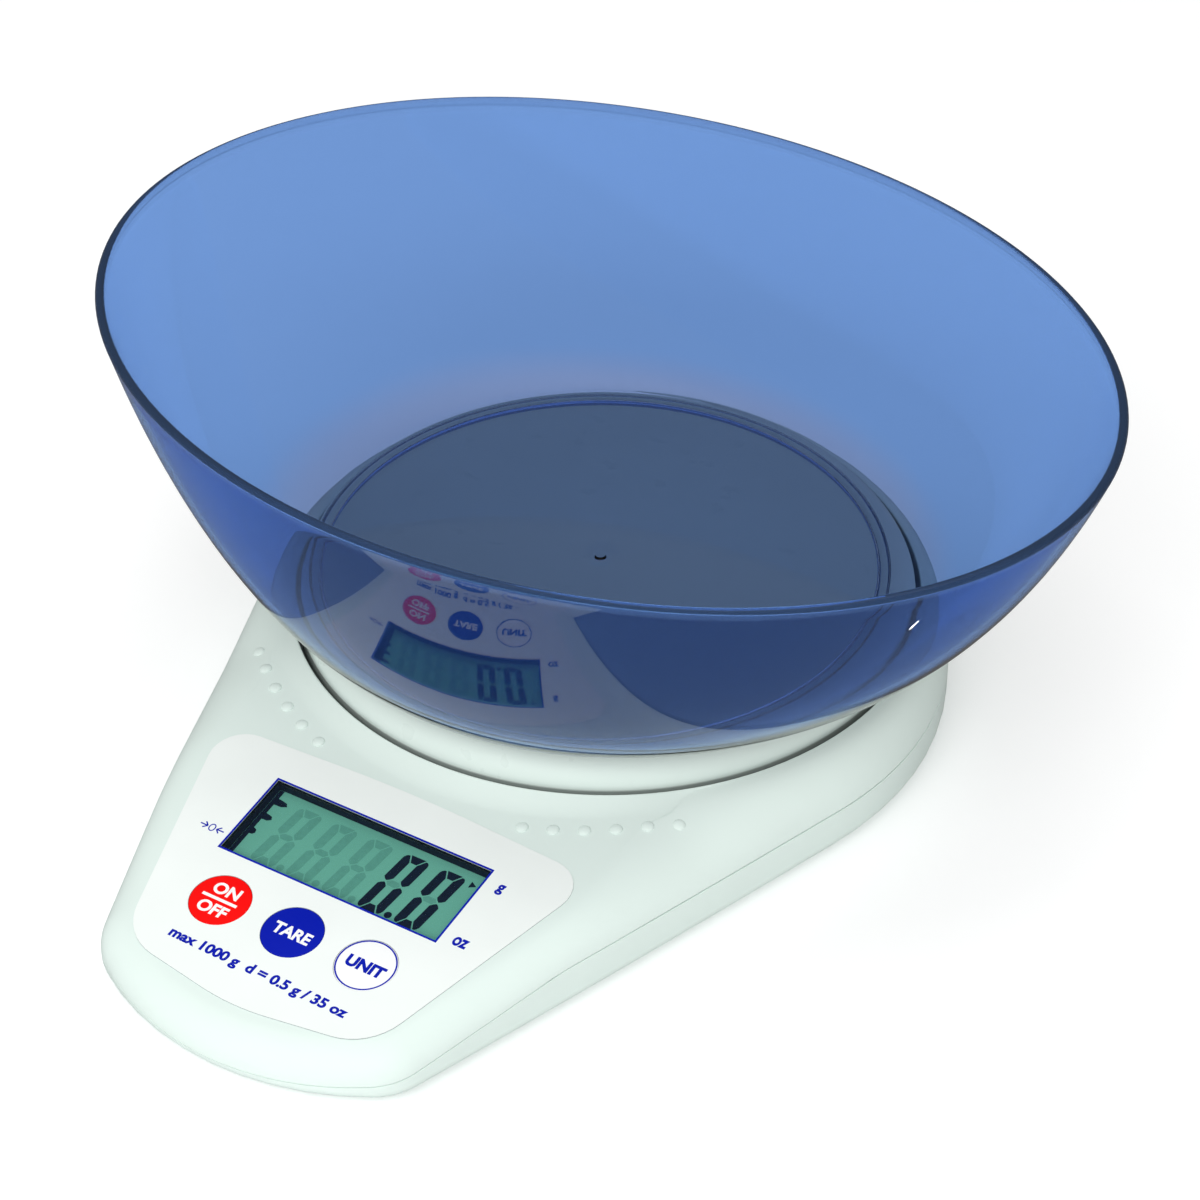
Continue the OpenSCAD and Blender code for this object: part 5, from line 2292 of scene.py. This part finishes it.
@dataclass
class Studio:
    """Camera, pale floor and soft light, in metres.

    Attributes:
        azimuth: The camera's direction to the right of the front, in degrees.
        elevation: Its angle above the floor, in degrees.
        distance: Its distance from the target.
        target: The point that it faces.
        lens: Its focal length in millimetres.
        sensor: Width of its sensor in millimetres.
        shift: Shift of the frame on X and Y, as a share of its width.
        clip: Nearest and farthest distance that it shows.
        floor_size: Side of the floor.
        world: Strength of the even light.
        horizon: How much brighter the camera sees the room than it lights the scale.
        floor_glow: Strength of the floor's own light.
        mirrored: Brightness of the room in glossy surfaces, by share of the way up.
        aim: The point that the lamps face.
    """

    azimuth: float = 32.07
    elevation: float = 37.87
    distance: float = 0.90696
    target: tuple[float, float, float] = (0.00029, 0.03526, 0.02555)
    lens: float = 112.635
    sensor: float = 36.0
    shift: Pair = (-0.0076, -0.0056)
    clip: Pair = (0.05, 50.0)
    floor_size: float = 8.0
    world: float = 0.4
    horizon: float = 0.16
    floor_glow: float = 0.2
    mirrored: tuple[Pair, ...] = (
        (0.0, 0.15), (0.45, 0.15), (0.55, 0.08), (0.9, 0.08), (1.0, 0.4),
    )
    aim: tuple[float, float, float] = (0.0, 0.02, 0.04)

    def camera(self) -> None:
        """Places the camera."""
        turn, rise = math.radians(self.azimuth), math.radians(self.elevation)
        back = Vector((
            math.sin(turn) * math.cos(rise), -math.cos(turn) * math.cos(rise), math.sin(rise)
        ))
        lens = bpy.data.cameras.new("studio_camera")
        lens.lens, lens.sensor_width = self.lens, self.sensor
        lens.shift_x, lens.shift_y = self.shift
        lens.clip_start, lens.clip_end = self.clip
        holder = bpy.data.objects.new("studio_camera", lens)
        holder.location = Vector(self.target) + back * self.distance
        holder.rotation_euler = (-back).to_track_quat("-Z", "Y").to_euler()
        bpy.context.scene.collection.objects.link(holder)
        bpy.context.scene.camera = holder

    def floor(self) -> None:
        """Lays the pale floor."""
        shape = bmesh.new()
        bmesh.ops.create_grid(shape, x_segments=8, y_segments=8, size=self.floor_size / 2)
        mesh = bpy.data.meshes.new("studio_floor")
        shape.to_mesh(mesh)
        shape.free()
        g = Graph("floor_paper")
        tone = g.ramp(g.noise(cells=3, detail=3), [
            (0.3, (0.9, 0.905, 0.905)), (0.7, (0.92, 0.925, 0.925)),
        ])
        mesh.materials.append(g.close(g.principled({
            "Base Color": tone, "Roughness": g.spread(g.noise(cells=40, detail=2), 0.85, 0.95),
            "Normal": g.bump(g.noise(cells=900, detail=3), depth=1e-5, strength=0.2),
            "Emission Color": (1, 1, 1, 1), "Emission Strength": self.floor_glow,
        })))
        holder = bpy.data.objects.new("studio_floor", mesh)
        holder.visible_glossy = False
        bpy.context.scene.collection.objects.link(holder)

    def lamp(self, name: str, place: Sequence[float], size: Pair, power: float,
             glossy_only: bool = False) -> None:
        """Hangs a soft rectangular lamp.

        Args:
            name: Name of the lamp.
            place: Where it hangs, in metres.
            size: Width and height in metres.
            power: Power in watts.
            glossy_only: Whether it shows in glossy surfaces and lights nothing else, rather
                than the other way round.
        """
        light = bpy.data.lights.new(name, "AREA")
        light.shape = "RECTANGLE"
        light.size, light.size_y = size
        light.energy = power
        holder = bpy.data.objects.new(name, light)
        holder.visible_glossy = glossy_only
        holder.visible_diffuse = not glossy_only
        holder.visible_transmission = False
        holder.visible_camera = False
        holder.location = place
        facing = Vector(self.aim) - Vector(place)
        holder.rotation_euler = facing.to_track_quat("-Z", "Y").to_euler()
        bpy.context.scene.collection.objects.link(holder)

    def surround(self) -> None:
        """Lights the room evenly; glossy surfaces mirror a dimmer one, bright overhead."""
        world = bpy.data.worlds.new("studio_world")
        world.use_nodes = True
        w = Wiring(world.node_tree)
        rays = w.add("ShaderNodeLightPath").outputs
        height = w.axis(w.add("ShaderNodeTexCoord").outputs["Generated"], "Z")
        sky = w.ramp(w.fade(height, -1, 1), [(share, (tone,) * 3) for share, tone in self.mirrored])
        seen = w.sums("SUBTRACT", rays["Is Glossy Ray"], rays["Is Transmission Ray"])
        level = w.fade(seen, 0, 1, self.world, sky)
        strength = w.sums("MULTIPLY_ADD", rays["Is Camera Ray"], self.horizon, level)
        w.feed(world.node_tree.nodes["Background"], {"Color": (1, 1, 1, 1), "Strength": strength})
        bpy.context.scene.world = world

    def build(self) -> None:
        """Sets up the studio."""
        self.camera()
        self.floor()
        self.surround()
        self.lamp("key_softbox", (0.45, -1.38, 1.5), (1.6, 1.0), 26)
        self.lamp("top_softbox", (-0.1, 0.1, 1.7), (1.0, 0.8), 8)
        self.lamp("streak", (0.138, 0.009, 0.004), (0.0009, 0.007), 0.00045, glossy_only=True)
        bpy.context.scene.view_settings.view_transform = "Standard"


def main() -> None:
    """Builds the scene, piece by piece."""
    logging.basicConfig(level=logging.INFO, format="%(message)s")
    form = HousingForm()
    for part in (
        Studio(), Covers(form), WeighingPlatform(form), MixingBowl(form), ControlPanel(form),
        Buttons(form), Display(form), Electronics(), BatteryBay(),
    ):
        LOG.info("building %s", type(part).__name__)
        part.build()


if __name__ == "__main__":
    main()
